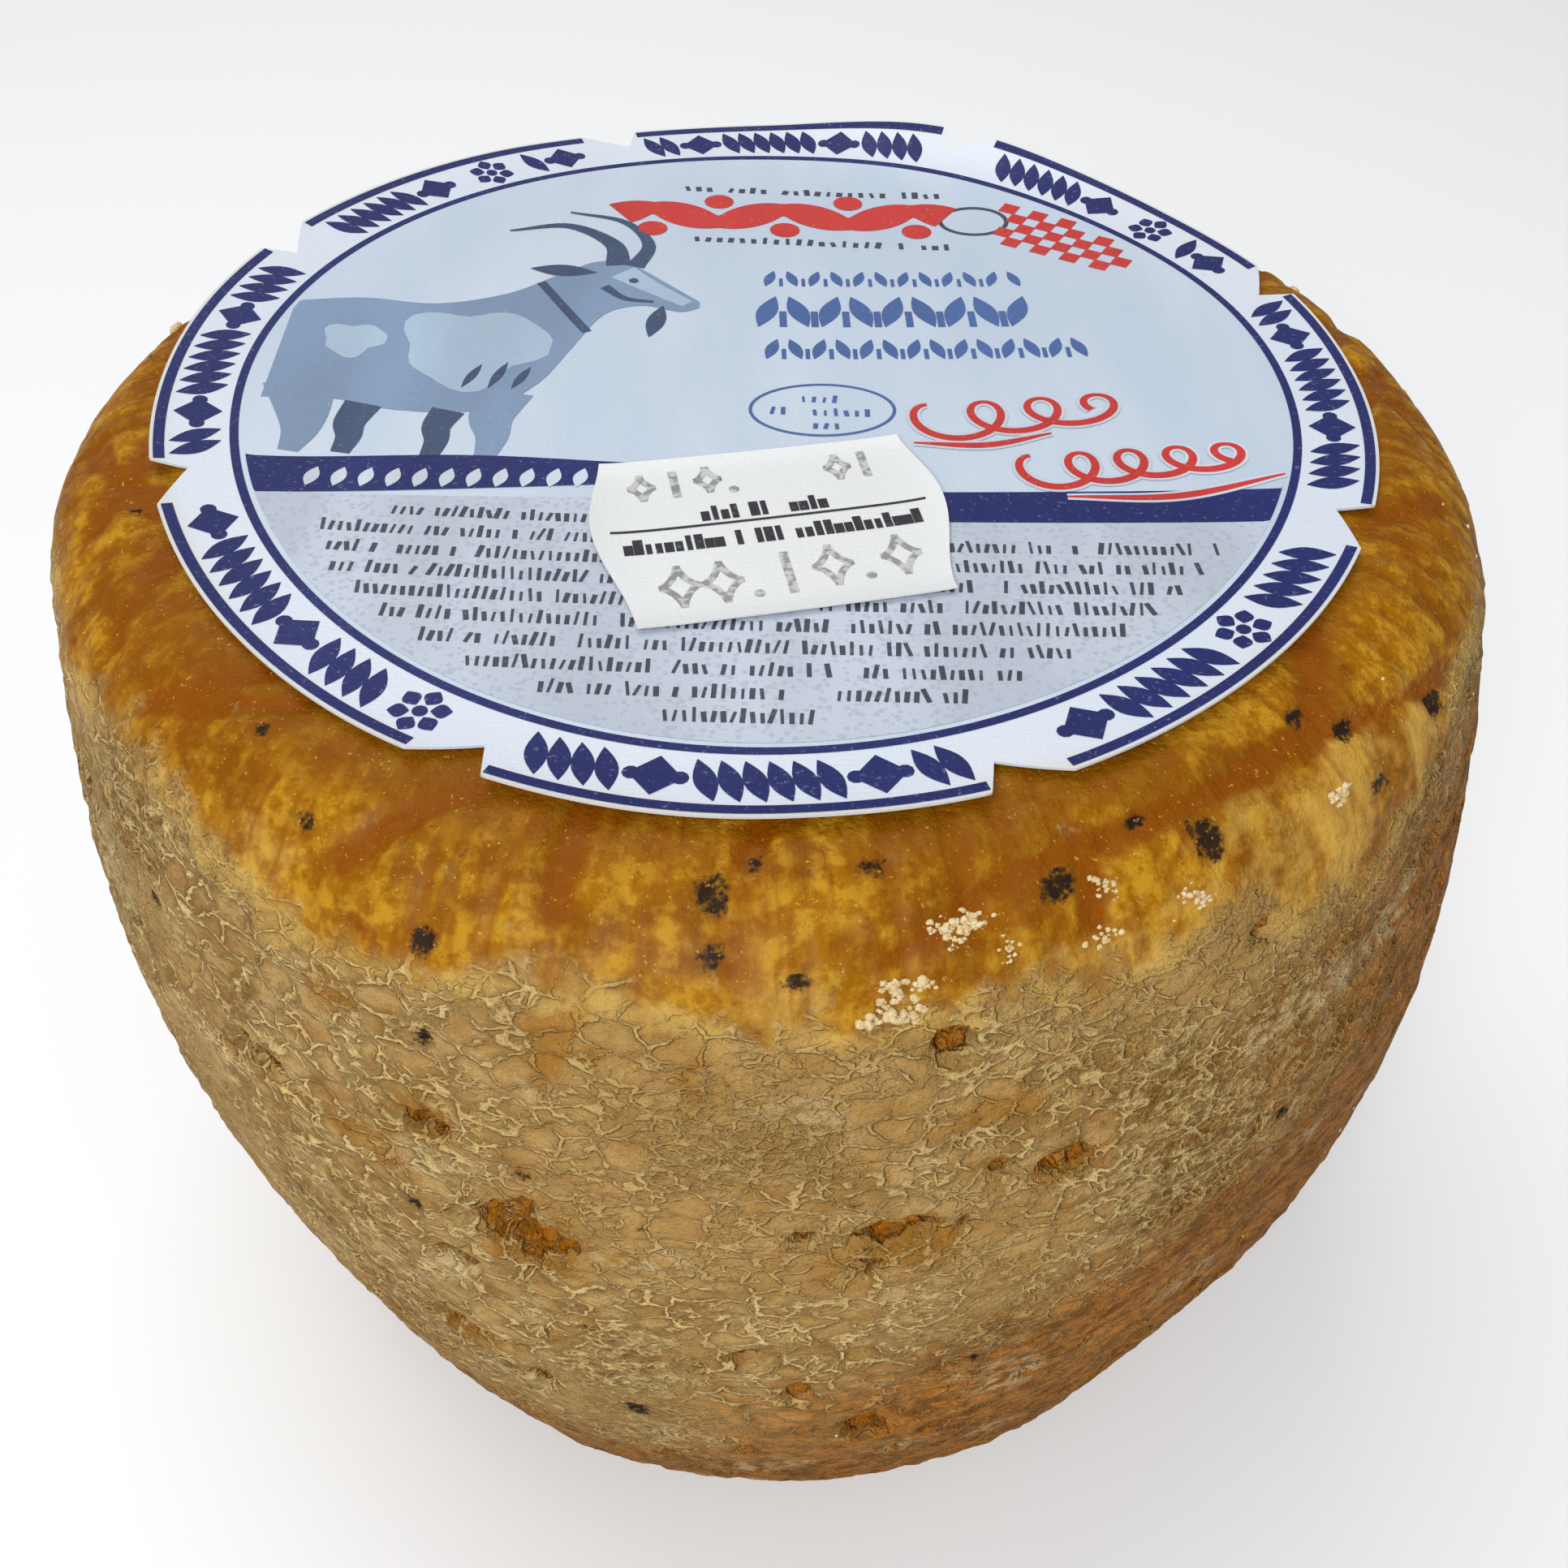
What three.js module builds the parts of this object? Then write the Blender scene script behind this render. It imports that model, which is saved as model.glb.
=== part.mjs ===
// A small pressed goat's-milk cheese wheel with a natural rind. A round paper label is
// pasted on its top face, and a small lot sticker lies across the label near the front.
//
// Millimetres, +Z up. The origin is the middle of the flat base that the wheel rests on.
// -Y is the front, the side that the label's print is read from.

import * as THREE from "three";

// ---- Wheel: one piece, as pressed and ripened ----
const WHEEL_DIAMETER = 119.5;    // across the widest belt of the bulging side
const WHEEL_HEIGHT = 88.5;       // base face to top face
const BELT_LIFT = 2.75;          // how far the widest belt lies above half height
const SIDE_BULGE = 7.5;          // how far the side leans in over half the wheel's height
const TOP_EDGE_RADIUS = 7;       // rounding between the side and the top face
const BASE_EDGE_RADIUS = 12;     // rounding between the side and the base, slumped wider
const WHEEL_SIDES = 72;          // facets round the wheel
const SIDE_ROWS = 9;             // facets up the side between the two edges
const EDGE_ROWS = 5;             // facets over each rounded edge

// ---- Paper label ----
const LABEL_THICKNESS = 0.2;
const LABEL_MARGIN = 0.4;        // flat rind left between the label's rim and the rounded edge
const PASTE_FILM = 0.05;         // paste between the rind and the label
const NOTCH_COUNT = 8;           // relief notches round the label's rim
const NOTCH_START = 19;          // degrees from +X to the first notch
const NOTCH_WIDTH = 5.4;         // along the rim
const NOTCH_DEPTH = 2.5;         // in from the rim
const NOTCH_LEAN = 1.5;          // tip's distance from the notch's middle, to alternate sides
const RIM_ARC_STEPS = 7;         // facets along the rim between two notches

// ---- Lot sticker ----
const STICKER_LENGTH = 25;
const STICKER_WIDTH = 18;
const STICKER_THICKNESS = 0.12;
const STICKER_GUM = 0.05;        // gum between the label and the sticker
const STICKER_FORWARD = 18.6;    // from the wheel's axis to the sticker's middle, to the front
const STICKER_TURN = 10;         // degrees the sticker is turned from square
const WAVE_DEPTH = 1.8;          // crest to trough of the wave cut along each short end
const WAVE_LENGTH = 21;          // one whole wave, trough to trough, from the front edge
const WAVE_STEPS = 14;           // facets along one short end

// ---- Levels and radii worked out from the sizes above ----
const degrees = (angle) => THREE.MathUtils.degToRad(angle);
const topFlatRadius = sideRadius(WHEEL_HEIGHT) - TOP_EDGE_RADIUS;
const labelRadius = topFlatRadius - LABEL_MARGIN;
const labelUnderside = WHEEL_HEIGHT + PASTE_FILM;
const stickerUnderside = labelUnderside + LABEL_THICKNESS + STICKER_GUM;

/** Radius of the wheel's side at a height, before its edges are rounded: a parabola. */
function sideRadius(height) {
  const fromBelt = (height - WHEEL_HEIGHT / 2 - BELT_LIFT) / (WHEEL_HEIGHT / 2);
  return WHEEL_DIAMETER / 2 - SIDE_BULGE * fromBelt * fromBelt;
}

/** One rounded edge as profile points, from the side of the wheel (0) to its face (1). */
function edgePoint(share, edgeRadius, heightAt) {
  const angle = (share * Math.PI) / 2;
  const height = heightAt(edgeRadius * (1 - Math.sin(angle)));
  return new THREE.Vector2(sideRadius(height) - edgeRadius * (1 - Math.cos(angle)), height);
}

/** Half section of the wheel, from the base's middle round the side to the top's middle. */
function wheelProfile() {
  const points = [new THREE.Vector2(0, 0)];
  for (let row = EDGE_ROWS; row >= 0; row -= 1) {
    points.push(edgePoint(row / EDGE_ROWS, BASE_EDGE_RADIUS, (fromFace) => fromFace));
  }
  const lowest = BASE_EDGE_RADIUS;
  const highest = WHEEL_HEIGHT - TOP_EDGE_RADIUS;
  for (let row = 1; row < SIDE_ROWS; row += 1) {
    const height = THREE.MathUtils.lerp(lowest, highest, row / SIDE_ROWS);
    points.push(new THREE.Vector2(sideRadius(height), height));
  }
  for (let row = 0; row <= EDGE_ROWS; row += 1) {
    points.push(edgePoint(row / EDGE_ROWS, TOP_EDGE_RADIUS, (fromFace) => WHEEL_HEIGHT - fromFace));
  }
  points.push(new THREE.Vector2(0, WHEEL_HEIGHT));
  return points;
}

/** The cheese itself: the half section turned about the vertical axis. */
function cheeseWheel() {
  const geometry = new THREE.LatheGeometry(wheelProfile(), WHEEL_SIDES);
  geometry.rotateX(Math.PI / 2);
  const rind = new THREE.MeshStandardMaterial({ color: 0xc08a3e, roughness: 0.5, metalness: 0 });
  const mesh = new THREE.Mesh(geometry, rind);
  mesh.name = "cheese_wheel";
  return mesh;
}

/** Outline of the round label: rim arcs joined by V notches that lean to alternate sides. */
function labelOutline() {
  const outline = new THREE.Shape();
  const pitch = (2 * Math.PI) / NOTCH_COUNT;
  const halfNotch = NOTCH_WIDTH / 2 / labelRadius;
  const tipRadius = labelRadius - NOTCH_DEPTH;
  for (let notch = 0; notch < NOTCH_COUNT; notch += 1) {
    const middle = degrees(NOTCH_START) + notch * pitch;
    const side = notch % 2 === 0 ? -1 : 1;
    const tipAngle = middle + (side * NOTCH_LEAN) / labelRadius;
    outline.absarc(0, 0, labelRadius, middle - pitch + halfNotch, middle - halfNotch, false);
    outline.lineTo(tipRadius * Math.cos(tipAngle), tipRadius * Math.sin(tipAngle));
  }
  outline.closePath();
  return outline;
}

/** The printed paper label, a thin disc pasted on the wheel's top face. */
function paperLabel() {
  const geometry = new THREE.ExtrudeGeometry(labelOutline(), {
    depth: LABEL_THICKNESS,
    bevelEnabled: false,
    curveSegments: RIM_ARC_STEPS,
  });
  const paper = new THREE.MeshStandardMaterial({ color: 0xd6e0ea, roughness: 0.45, metalness: 0 });
  const mesh = new THREE.Mesh(geometry, paper);
  mesh.name = "paper_label";
  mesh.position.z = labelUnderside;
  return mesh;
}

/** Half the sticker's length at a distance from its front edge: a cosine wave. */
function stickerHalfLength(fromFront) {
  const wave = Math.cos((fromFront / WAVE_LENGTH) * 2 * Math.PI);
  return STICKER_LENGTH / 2 - (WAVE_DEPTH * (1 + wave)) / 2;
}

/** Outline of the lot sticker: two straight long edges and two wavy short ends. */
function stickerOutline() {
  const rightEnd = [];
  for (let step = 0; step <= WAVE_STEPS; step += 1) {
    const fromFront = (step / WAVE_STEPS) * STICKER_WIDTH;
    rightEnd.push(new THREE.Vector2(stickerHalfLength(fromFront), fromFront - STICKER_WIDTH / 2));
  }
  const leftEnd = rightEnd.map((point) => new THREE.Vector2(-point.x, point.y)).reverse();
  return new THREE.Shape([...rightEnd, ...leftEnd]);
}

/** The lot sticker, gummed on the label towards the front and turned a little. */
function lotSticker() {
  const geometry = new THREE.ExtrudeGeometry(stickerOutline(), {
    depth: STICKER_THICKNESS,
    bevelEnabled: false,
  });
  const paper = new THREE.MeshStandardMaterial({ color: 0xf0f0ee, roughness: 0.55, metalness: 0 });
  const mesh = new THREE.Mesh(geometry, paper);
  mesh.name = "lot_sticker";
  mesh.position.set(0, -STICKER_FORWARD, stickerUnderside);
  mesh.rotation.z = degrees(STICKER_TURN);
  return mesh;
}

const labelledCheese = new THREE.Group();
labelledCheese.add(cheeseWheel(), paperLabel(), lotSticker());

export default labelledCheese;
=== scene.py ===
"""A small pressed goat's-milk cheese wheel with a round paper label and a lot sticker.

The wheel stands on its flat base, +Z up and its front towards -Y. Every length here is in
metres, mostly written as millimetres times MM. Each piece is a surface of two parameters worked
out with numpy, and each finish is a small class that builds one procedural material.
"""

import logging
import math
from collections.abc import Callable
from dataclasses import dataclass
from enum import Enum

import bpy
import numpy as np
from mathutils import Matrix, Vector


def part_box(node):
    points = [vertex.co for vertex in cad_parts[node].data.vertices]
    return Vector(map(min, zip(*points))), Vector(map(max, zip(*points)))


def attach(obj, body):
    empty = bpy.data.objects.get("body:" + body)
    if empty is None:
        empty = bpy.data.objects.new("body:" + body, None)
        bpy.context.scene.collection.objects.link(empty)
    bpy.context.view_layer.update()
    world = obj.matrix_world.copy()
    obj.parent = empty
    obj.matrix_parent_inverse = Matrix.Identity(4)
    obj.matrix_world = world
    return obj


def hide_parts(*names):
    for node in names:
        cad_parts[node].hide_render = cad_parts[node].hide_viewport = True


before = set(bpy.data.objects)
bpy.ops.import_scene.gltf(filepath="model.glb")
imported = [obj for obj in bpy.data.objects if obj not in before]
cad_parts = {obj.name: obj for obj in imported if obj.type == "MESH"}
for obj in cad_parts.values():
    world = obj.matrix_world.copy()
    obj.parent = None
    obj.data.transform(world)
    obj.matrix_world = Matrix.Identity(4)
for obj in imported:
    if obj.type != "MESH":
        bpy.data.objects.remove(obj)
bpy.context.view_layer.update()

Array = np.ndarray
Socket = bpy.types.NodeSocket
Material = bpy.types.Material
Colour = tuple[int, int, int]
Place = tuple[float, float]
MM = 0.001
FULL_TURN = 2 * math.pi
LABEL_MARGIN = 0.4 * MM
SHARP_CORNER = math.radians(75)
log = logging.getLogger("cheese")


# ---------------------------------------------------------------- noise over whole arrays


def lattice_value(cells: Array, seed: int) -> Array:
    """Mixes the integer coordinates of lattice cells into one value from 0 to 1 for each cell.

    Args:
        cells: whole-number coordinates, three to a cell, in the last axis.
        seed: chooses the pattern.

    Returns:
        One value for each cell.
    """
    x, y, z = (cells[..., axis].astype(np.int64) & 0xFFFFFFFF for axis in range(3))
    mixed = (x * 73856093 ^ y * 19349663 ^ z * 83492791 ^ seed * 2654435761) & 0xFFFFFFFF
    mixed = (mixed ^ (mixed >> 13)) * 1274126177 & 0xFFFFFFFF
    mixed = (mixed ^ (mixed >> 15)) * 1103515245 & 0xFFFFFFFF
    return (mixed ^ (mixed >> 16)) / 0xFFFFFFFF


def smooth_noise(points: Array, size: float, seed: int) -> Array:
    """Value noise: the eight corner values of a cubic lattice blended by smooth steps.

    Args:
        points: places, three numbers to a place, in the last axis.
        size: width of one lattice cell.
        seed: chooses the pattern.

    Returns:
        One value from -1 to 1 for each place.
    """
    scaled = points / size
    low = np.floor(scaled)
    share = scaled - low
    share = share * share * (3 - 2 * share)
    total = np.zeros(points.shape[:-1])
    for corner in np.ndindex(2, 2, 2):
        weight = np.prod(np.where(np.array(corner) == 1, share, 1 - share), axis=-1)
        total = total + weight * lattice_value(low + np.array(corner), seed)
    return 2 * total - 1


def fractal_noise(points: Array, size: float, seed: int, octaves: int = 4) -> Array:
    """Smooth noise summed over octaves, each half the size and half the strength of the last.

    Args:
        points: places, three numbers to a place.
        size: width of the coarsest lattice cell.
        seed: chooses the pattern.
        octaves: how many sizes are summed.

    Returns:
        One value for each place, nearly always from -1 to 1.
    """
    total = np.zeros(points.shape[:-1])
    for octave in range(octaves):
        total = total + smooth_noise(points, size / 2**octave, seed + octave) / 2**octave
    return total / (2 - 0.5 ** (octaves - 1))


def cell_edges(points: Array, size: float, seed: int) -> Array:
    """Distance from the borders between scattered cells: second nearest seed less the nearest.

    Args:
        points: places, three numbers to a place.
        size: mean width of a cell.
        seed: chooses the pattern.

    Returns:
        Distances in cell widths, 0 on a border between two cells.
    """
    scaled = points / size
    home = np.floor(scaled)
    nearest = np.full(points.shape[:-1], 9.0)
    second = nearest.copy()
    for offset in np.ndindex(3, 3, 3):
        cell = home + np.array(offset) - 1
        middle = np.stack([lattice_value(cell, seed + axis) for axis in range(3)], axis=-1)
        distance = np.linalg.norm(cell + middle - scaled, axis=-1)
        second = np.minimum(second, np.maximum(distance, nearest))
        nearest = np.minimum(nearest, distance)
    return second - nearest


def ramp(value: Array, low: float, high: float) -> Array:
    """Smooth step from 0 at low to 1 at high, or falling where high is below low."""
    share = np.clip((value - low) / (high - low), 0, 1)
    return share * share * (3 - 2 * share)


# ---------------------------------------------------------------- meshes from grids


def grid_quads(rows: int, columns: int, wrap_rows: bool, wrap_columns: bool) -> Array:
    """Faces between the neighbours of a grid whose points are numbered row by row.

    Args:
        rows: number of rows of points.
        columns: number of points in a row.
        wrap_rows: whether the last row joins the first.
        wrap_columns: whether each row is a closed ring.

    Returns:
        Four point numbers to a face.
    """
    row = np.arange(rows if wrap_rows else rows - 1)[:, None]
    column = np.arange(columns if wrap_columns else columns - 1)[None, :]
    next_row, next_column = (row + 1) % rows, (column + 1) % columns
    corners = [row * columns + column, row * columns + next_column]
    corners += [next_row * columns + next_column, next_row * columns + column]
    return np.stack(corners, axis=-1).reshape(-1, 4)


@dataclass
class Patch:
    """Part of a mesh: points, and faces of three or four points (a triangle ends in -1)."""

    points: Array
    faces: Array

    @staticmethod
    def joined(patches: list["Patch"]) -> "Patch":
        """All the patches as one, with the point numbers moved up."""
        starts = np.cumsum([0] + [len(patch.points) for patch in patches])
        faces = [np.where(p.faces < 0, -1, p.faces + s) for p, s in zip(patches, starts)]
        return Patch(np.concatenate([p.points for p in patches]), np.concatenate(faces))


def capped_rings(rings: Array, first_pole: Array, last_pole: Array) -> Patch:
    """Closed skin over a stack of rings, with a fan of triangles to a pole at each end.

    Args:
        rings: points as rows x columns x 3, counter-clockwise seen from the last pole.
        first_pole: the point that closes the first ring.
        last_pole: the point that closes the last ring.

    Returns:
        The closed patch.
    """
    rows, columns = rings.shape[:2]
    quads = grid_quads(rows, columns, False, True)
    here = np.arange(columns)
    after = (here + 1) % columns
    top = (rows - 1) * columns
    none = np.full(columns, -1)
    low = np.stack([after, here, np.full(columns, rows * columns), none], axis=-1)
    high = np.stack([top + here, top + after, np.full(columns, rows * columns + 1), none], axis=-1)
    points = np.concatenate([rings.reshape(-1, 3), [first_pole], [last_pole]])
    return Patch(points, np.concatenate([quads, low, high]))


def make_piece(name: str, patch: Patch, masks: dict[str, Array] | None = None) -> bpy.types.Object:
    """Puts a patch into a smooth-shaded mesh object at the origin, creased only at sharp corners.

    Args:
        name: the piece's name.
        patch: its points and faces.
        masks: values for each point, stored as attributes that the finish reads.

    Returns:
        The new object.
    """
    sides = np.where(patch.faces[:, 3] < 0, 3, 4)
    corners = patch.faces.ravel()[patch.faces.ravel() >= 0]
    mesh = bpy.data.meshes.new(name)
    mesh.vertices.add(len(patch.points))
    mesh.vertices.foreach_set("co", patch.points.astype(np.float32).ravel())
    mesh.loops.add(len(corners))
    mesh.loops.foreach_set("vertex_index", corners.astype(np.int32))
    mesh.polygons.add(len(sides))
    mesh.polygons.foreach_set("loop_start", (np.cumsum(sides) - sides).astype(np.int32))
    mesh.polygons.foreach_set("use_smooth", np.ones(len(sides), bool))
    mesh.update(calc_edges=True)
    mesh.set_sharp_from_angle(angle=SHARP_CORNER)
    for mask, values in (masks or {}).items():
        attribute = mesh.attributes.new(mask, "FLOAT", "POINT")
        attribute.data.foreach_set("value", values.astype(np.float32))
    piece = bpy.data.objects.new(name, mesh)
    bpy.context.scene.collection.objects.link(piece)
    return piece


def finish_piece(piece: bpy.types.Object, material: Material) -> None:
    """Dresses a piece, lets it ride on the one body, and reports it.

    Args:
        piece: the finished mesh object.
        material: its finish.
    """
    piece.data.materials.append(material)
    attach(piece, "root")
    log.info("%s: %d faces, finish %s", piece.name, len(piece.data.polygons), material.name)


# ---------------------------------------------------------------- shader helpers


def tint(red: int, green: int, blue: int) -> tuple[float, float, float, float]:
    """A display colour from 0 to 255 as the linear colour that shaders mix."""
    shares = np.array([red, green, blue]) / 255
    linear = np.where(shares < 0.04045, shares / 12.92, ((shares + 0.055) / 1.055) ** 2.4)
    return (*(float(channel) for channel in linear), 1.0)


class Desk:
    """Short calls that add shader nodes to one node tree and link them."""

    def __init__(self, tree: bpy.types.NodeTree) -> None:
        """Keeps the tree that the nodes go into."""
        self.tree = tree

    def add(self, kind: str, **settings: object) -> bpy.types.Node:
        """Adds a node of the given kind and sets its properties."""
        node = self.tree.nodes.new("ShaderNode" + kind)
        for name, value in settings.items():
            setattr(node, name, value)
        return node

    def feed(self, socket: Socket, value: object) -> None:
        """Links a socket to the input, or sets the input's own value."""
        if isinstance(value, bpy.types.NodeSocket):
            self.tree.links.new(value, socket)
        else:
            socket.default_value = value

    def object_place(self, stretch: tuple[float, float, float] = (1, 1, 1)) -> Socket:
        """The piece's Object coordinates through a Mapping node that stretches them."""
        mapping = self.add("Mapping")
        mapping.inputs["Scale"].default_value = stretch
        self.feed(mapping.inputs["Vector"], self.add("TexCoord").outputs["Object"])
        return mapping.outputs["Vector"]

    def mask(self, name: str) -> Socket:
        """A value that the mesh holds for each point."""
        return self.add("Attribute", attribute_name=name).outputs["Fac"]

    def math(self, operation: str, first: object, second: object = 0.0) -> Socket:
        """One operation on two values."""
        node = self.add("Math", operation=operation)
        self.feed(node.inputs[0], first)
        self.feed(node.inputs[1], second)
        return node.outputs[0]

    def times(self, first: object, second: object) -> Socket:
        """Product of two values."""
        return self.math("MULTIPLY", first, second)

    def plus(self, first: object, second: object) -> Socket:
        """Sum of two values."""
        return self.math("ADD", first, second)

    def minus(self, first: object, second: object) -> Socket:
        """The first value less the second."""
        return self.math("SUBTRACT", first, second)

    def eased(self, value: Socket, share: float) -> Socket:
        """A value pulled towards 1, so that 0 becomes 1 less the share."""
        node = self.add("Math", operation="MULTIPLY_ADD")
        self.feed(node.inputs[0], value)
        node.inputs[1].default_value = share
        node.inputs[2].default_value = 1 - share
        return node.outputs[0]

    def step(self, value: object, low: float, high: float, out: Place = (0, 1)) -> Socket:
        """Smooth step of a value from low to high, onto the range given by out."""
        node = self.add("MapRange", interpolation_type="SMOOTHSTEP")
        numbers = {"Value": value, "From Min": low, "From Max": high, "To Min": out[0], "To Max": out[1]}
        for name, number in numbers.items():
            self.feed(node.inputs[name], number)
        return node.outputs["Result"]

    def mix(self, share: object, first: object, second: object) -> Socket:
        """Colour between two, each a socket or a display colour: the first at share 0, the second at 1."""
        node = self.add("Mix", data_type="RGBA")
        self.feed(node.inputs[0], share)
        for socket, colour in ((node.inputs[6], first), (node.inputs[7], second)):
            self.feed(socket, tint(*colour) if isinstance(colour, tuple) else colour)
        return node.outputs[2]

    def noise(self, place: Socket, size: float, detail: float = 2, roughness: float = 0.5) -> Socket:
        """Noise from 0 to 1 whose lumps are about the given size."""
        node = self.add("TexNoise")
        for name, number in {"Scale": 1 / size, "Detail": detail, "Roughness": roughness}.items():
            node.inputs[name].default_value = number
        self.feed(node.inputs["Vector"], place)
        return node.outputs["Fac"]

    def ragged(self, mask: Socket, place: Socket, size: float, reach: float, low: float,
               high: float) -> Socket:
        """A mask whose soft edge is broken up by noise, then sharpened.

        Args:
            mask: the mask, from 0 to 1.
            place: coordinates that the noise is read at.
            size: size of the noise's lumps.
            reach: how far the noise pushes the mask up and down.
            low: pushed value that becomes 0.
            high: pushed value that becomes 1.

        Returns:
            The broken-up mask.
        """
        push = self.times(self.minus(self.noise(place, size, 3, 0.6), 0.5), 2 * reach)
        push = self.times(push, self.step(mask, 0.0, 0.15))
        return self.step(self.plus(mask, push), low, high)

    def warped(self, place: Socket, size: float, reach: float) -> Socket:
        """Coordinates pushed about by coloured noise, up to half of reach each way."""
        push = self.add("TexNoise")
        push.inputs["Scale"].default_value = 1 / size
        self.feed(push.inputs["Vector"], place)
        centred = self.add("VectorMath", operation="SUBTRACT")
        self.feed(centred.inputs[0], push.outputs["Color"])
        centred.inputs[1].default_value = (0.5, 0.5, 0.5)
        moved = self.add("VectorMath", operation="MULTIPLY_ADD")
        self.feed(moved.inputs[0], centred.outputs[0])
        moved.inputs[1].default_value = (reach, reach, reach)
        self.feed(moved.inputs[2], place)
        return moved.outputs[0]

    def cells(self, place: Socket, size: float, feature: str, output: str) -> Socket:
        """One output of a cell pattern whose cells are about the given size."""
        node = self.add("TexVoronoi", feature=feature)
        node.inputs["Scale"].default_value = 1 / size
        self.feed(node.inputs["Vector"], place)
        return node.outputs[output]

    def bump(self, height: Socket, reach: float) -> Socket:
        """Normal of a surface raised by height times reach."""
        node = self.add("Bump")
        node.inputs["Strength"].default_value = 1.0
        node.inputs["Distance"].default_value = reach
        self.feed(node.inputs["Height"], height)
        return node.outputs["Normal"]

    def group(self, group: "Effect", values: dict[str, object]) -> bpy.types.Node:
        """Places a shared effect and feeds its named inputs."""
        node = self.add("Group")
        node.node_tree = group.tree
        for name, value in values.items():
            self.feed(node.inputs[name], value)
        return node


class Effect:
    """A shader node group with named inputs and outputs, shared by several finishes."""

    def __init__(self, name: str, inputs: dict[str, float], outputs: tuple[str, ...]) -> None:
        """Opens a group.

        Args:
            name: the group's name.
            inputs: its number inputs, each with its usual value.
            outputs: its number outputs.
        """
        self.tree = bpy.data.node_groups.new(name, "ShaderNodeTree")
        for label, value in inputs.items():
            socket = self.tree.interface.new_socket(label, in_out="INPUT", socket_type="NodeSocketFloat")
            socket.default_value = value
        for label in outputs:
            self.tree.interface.new_socket(label, in_out="OUTPUT", socket_type="NodeSocketFloat")
        self.desk = Desk(self.tree)
        self.given = self.tree.nodes.new("NodeGroupInput").outputs
        self.result = self.tree.nodes.new("NodeGroupOutput").inputs


class Finish:
    """A material with a Principled shader, opened for a finish class to fill in."""

    def __init__(self, name: str) -> None:
        """Makes the material and finds its shader.

        Args:
            name: the material's name.
        """
        self.material = bpy.data.materials.new(name)
        self.material.use_nodes = True
        self.desk = Desk(self.material.node_tree)
        self.shader = self.material.node_tree.nodes["Principled BSDF"]

    def set(self, **values: object) -> None:
        """Feeds shader inputs, named in lower case with underscores."""
        for name, value in values.items():
            title = name.replace("_", " ").title().replace("Ior", "IOR")
            self.desk.feed(self.shader.inputs[title], value)


# ---------------------------------------------------------------- the wheel


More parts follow.
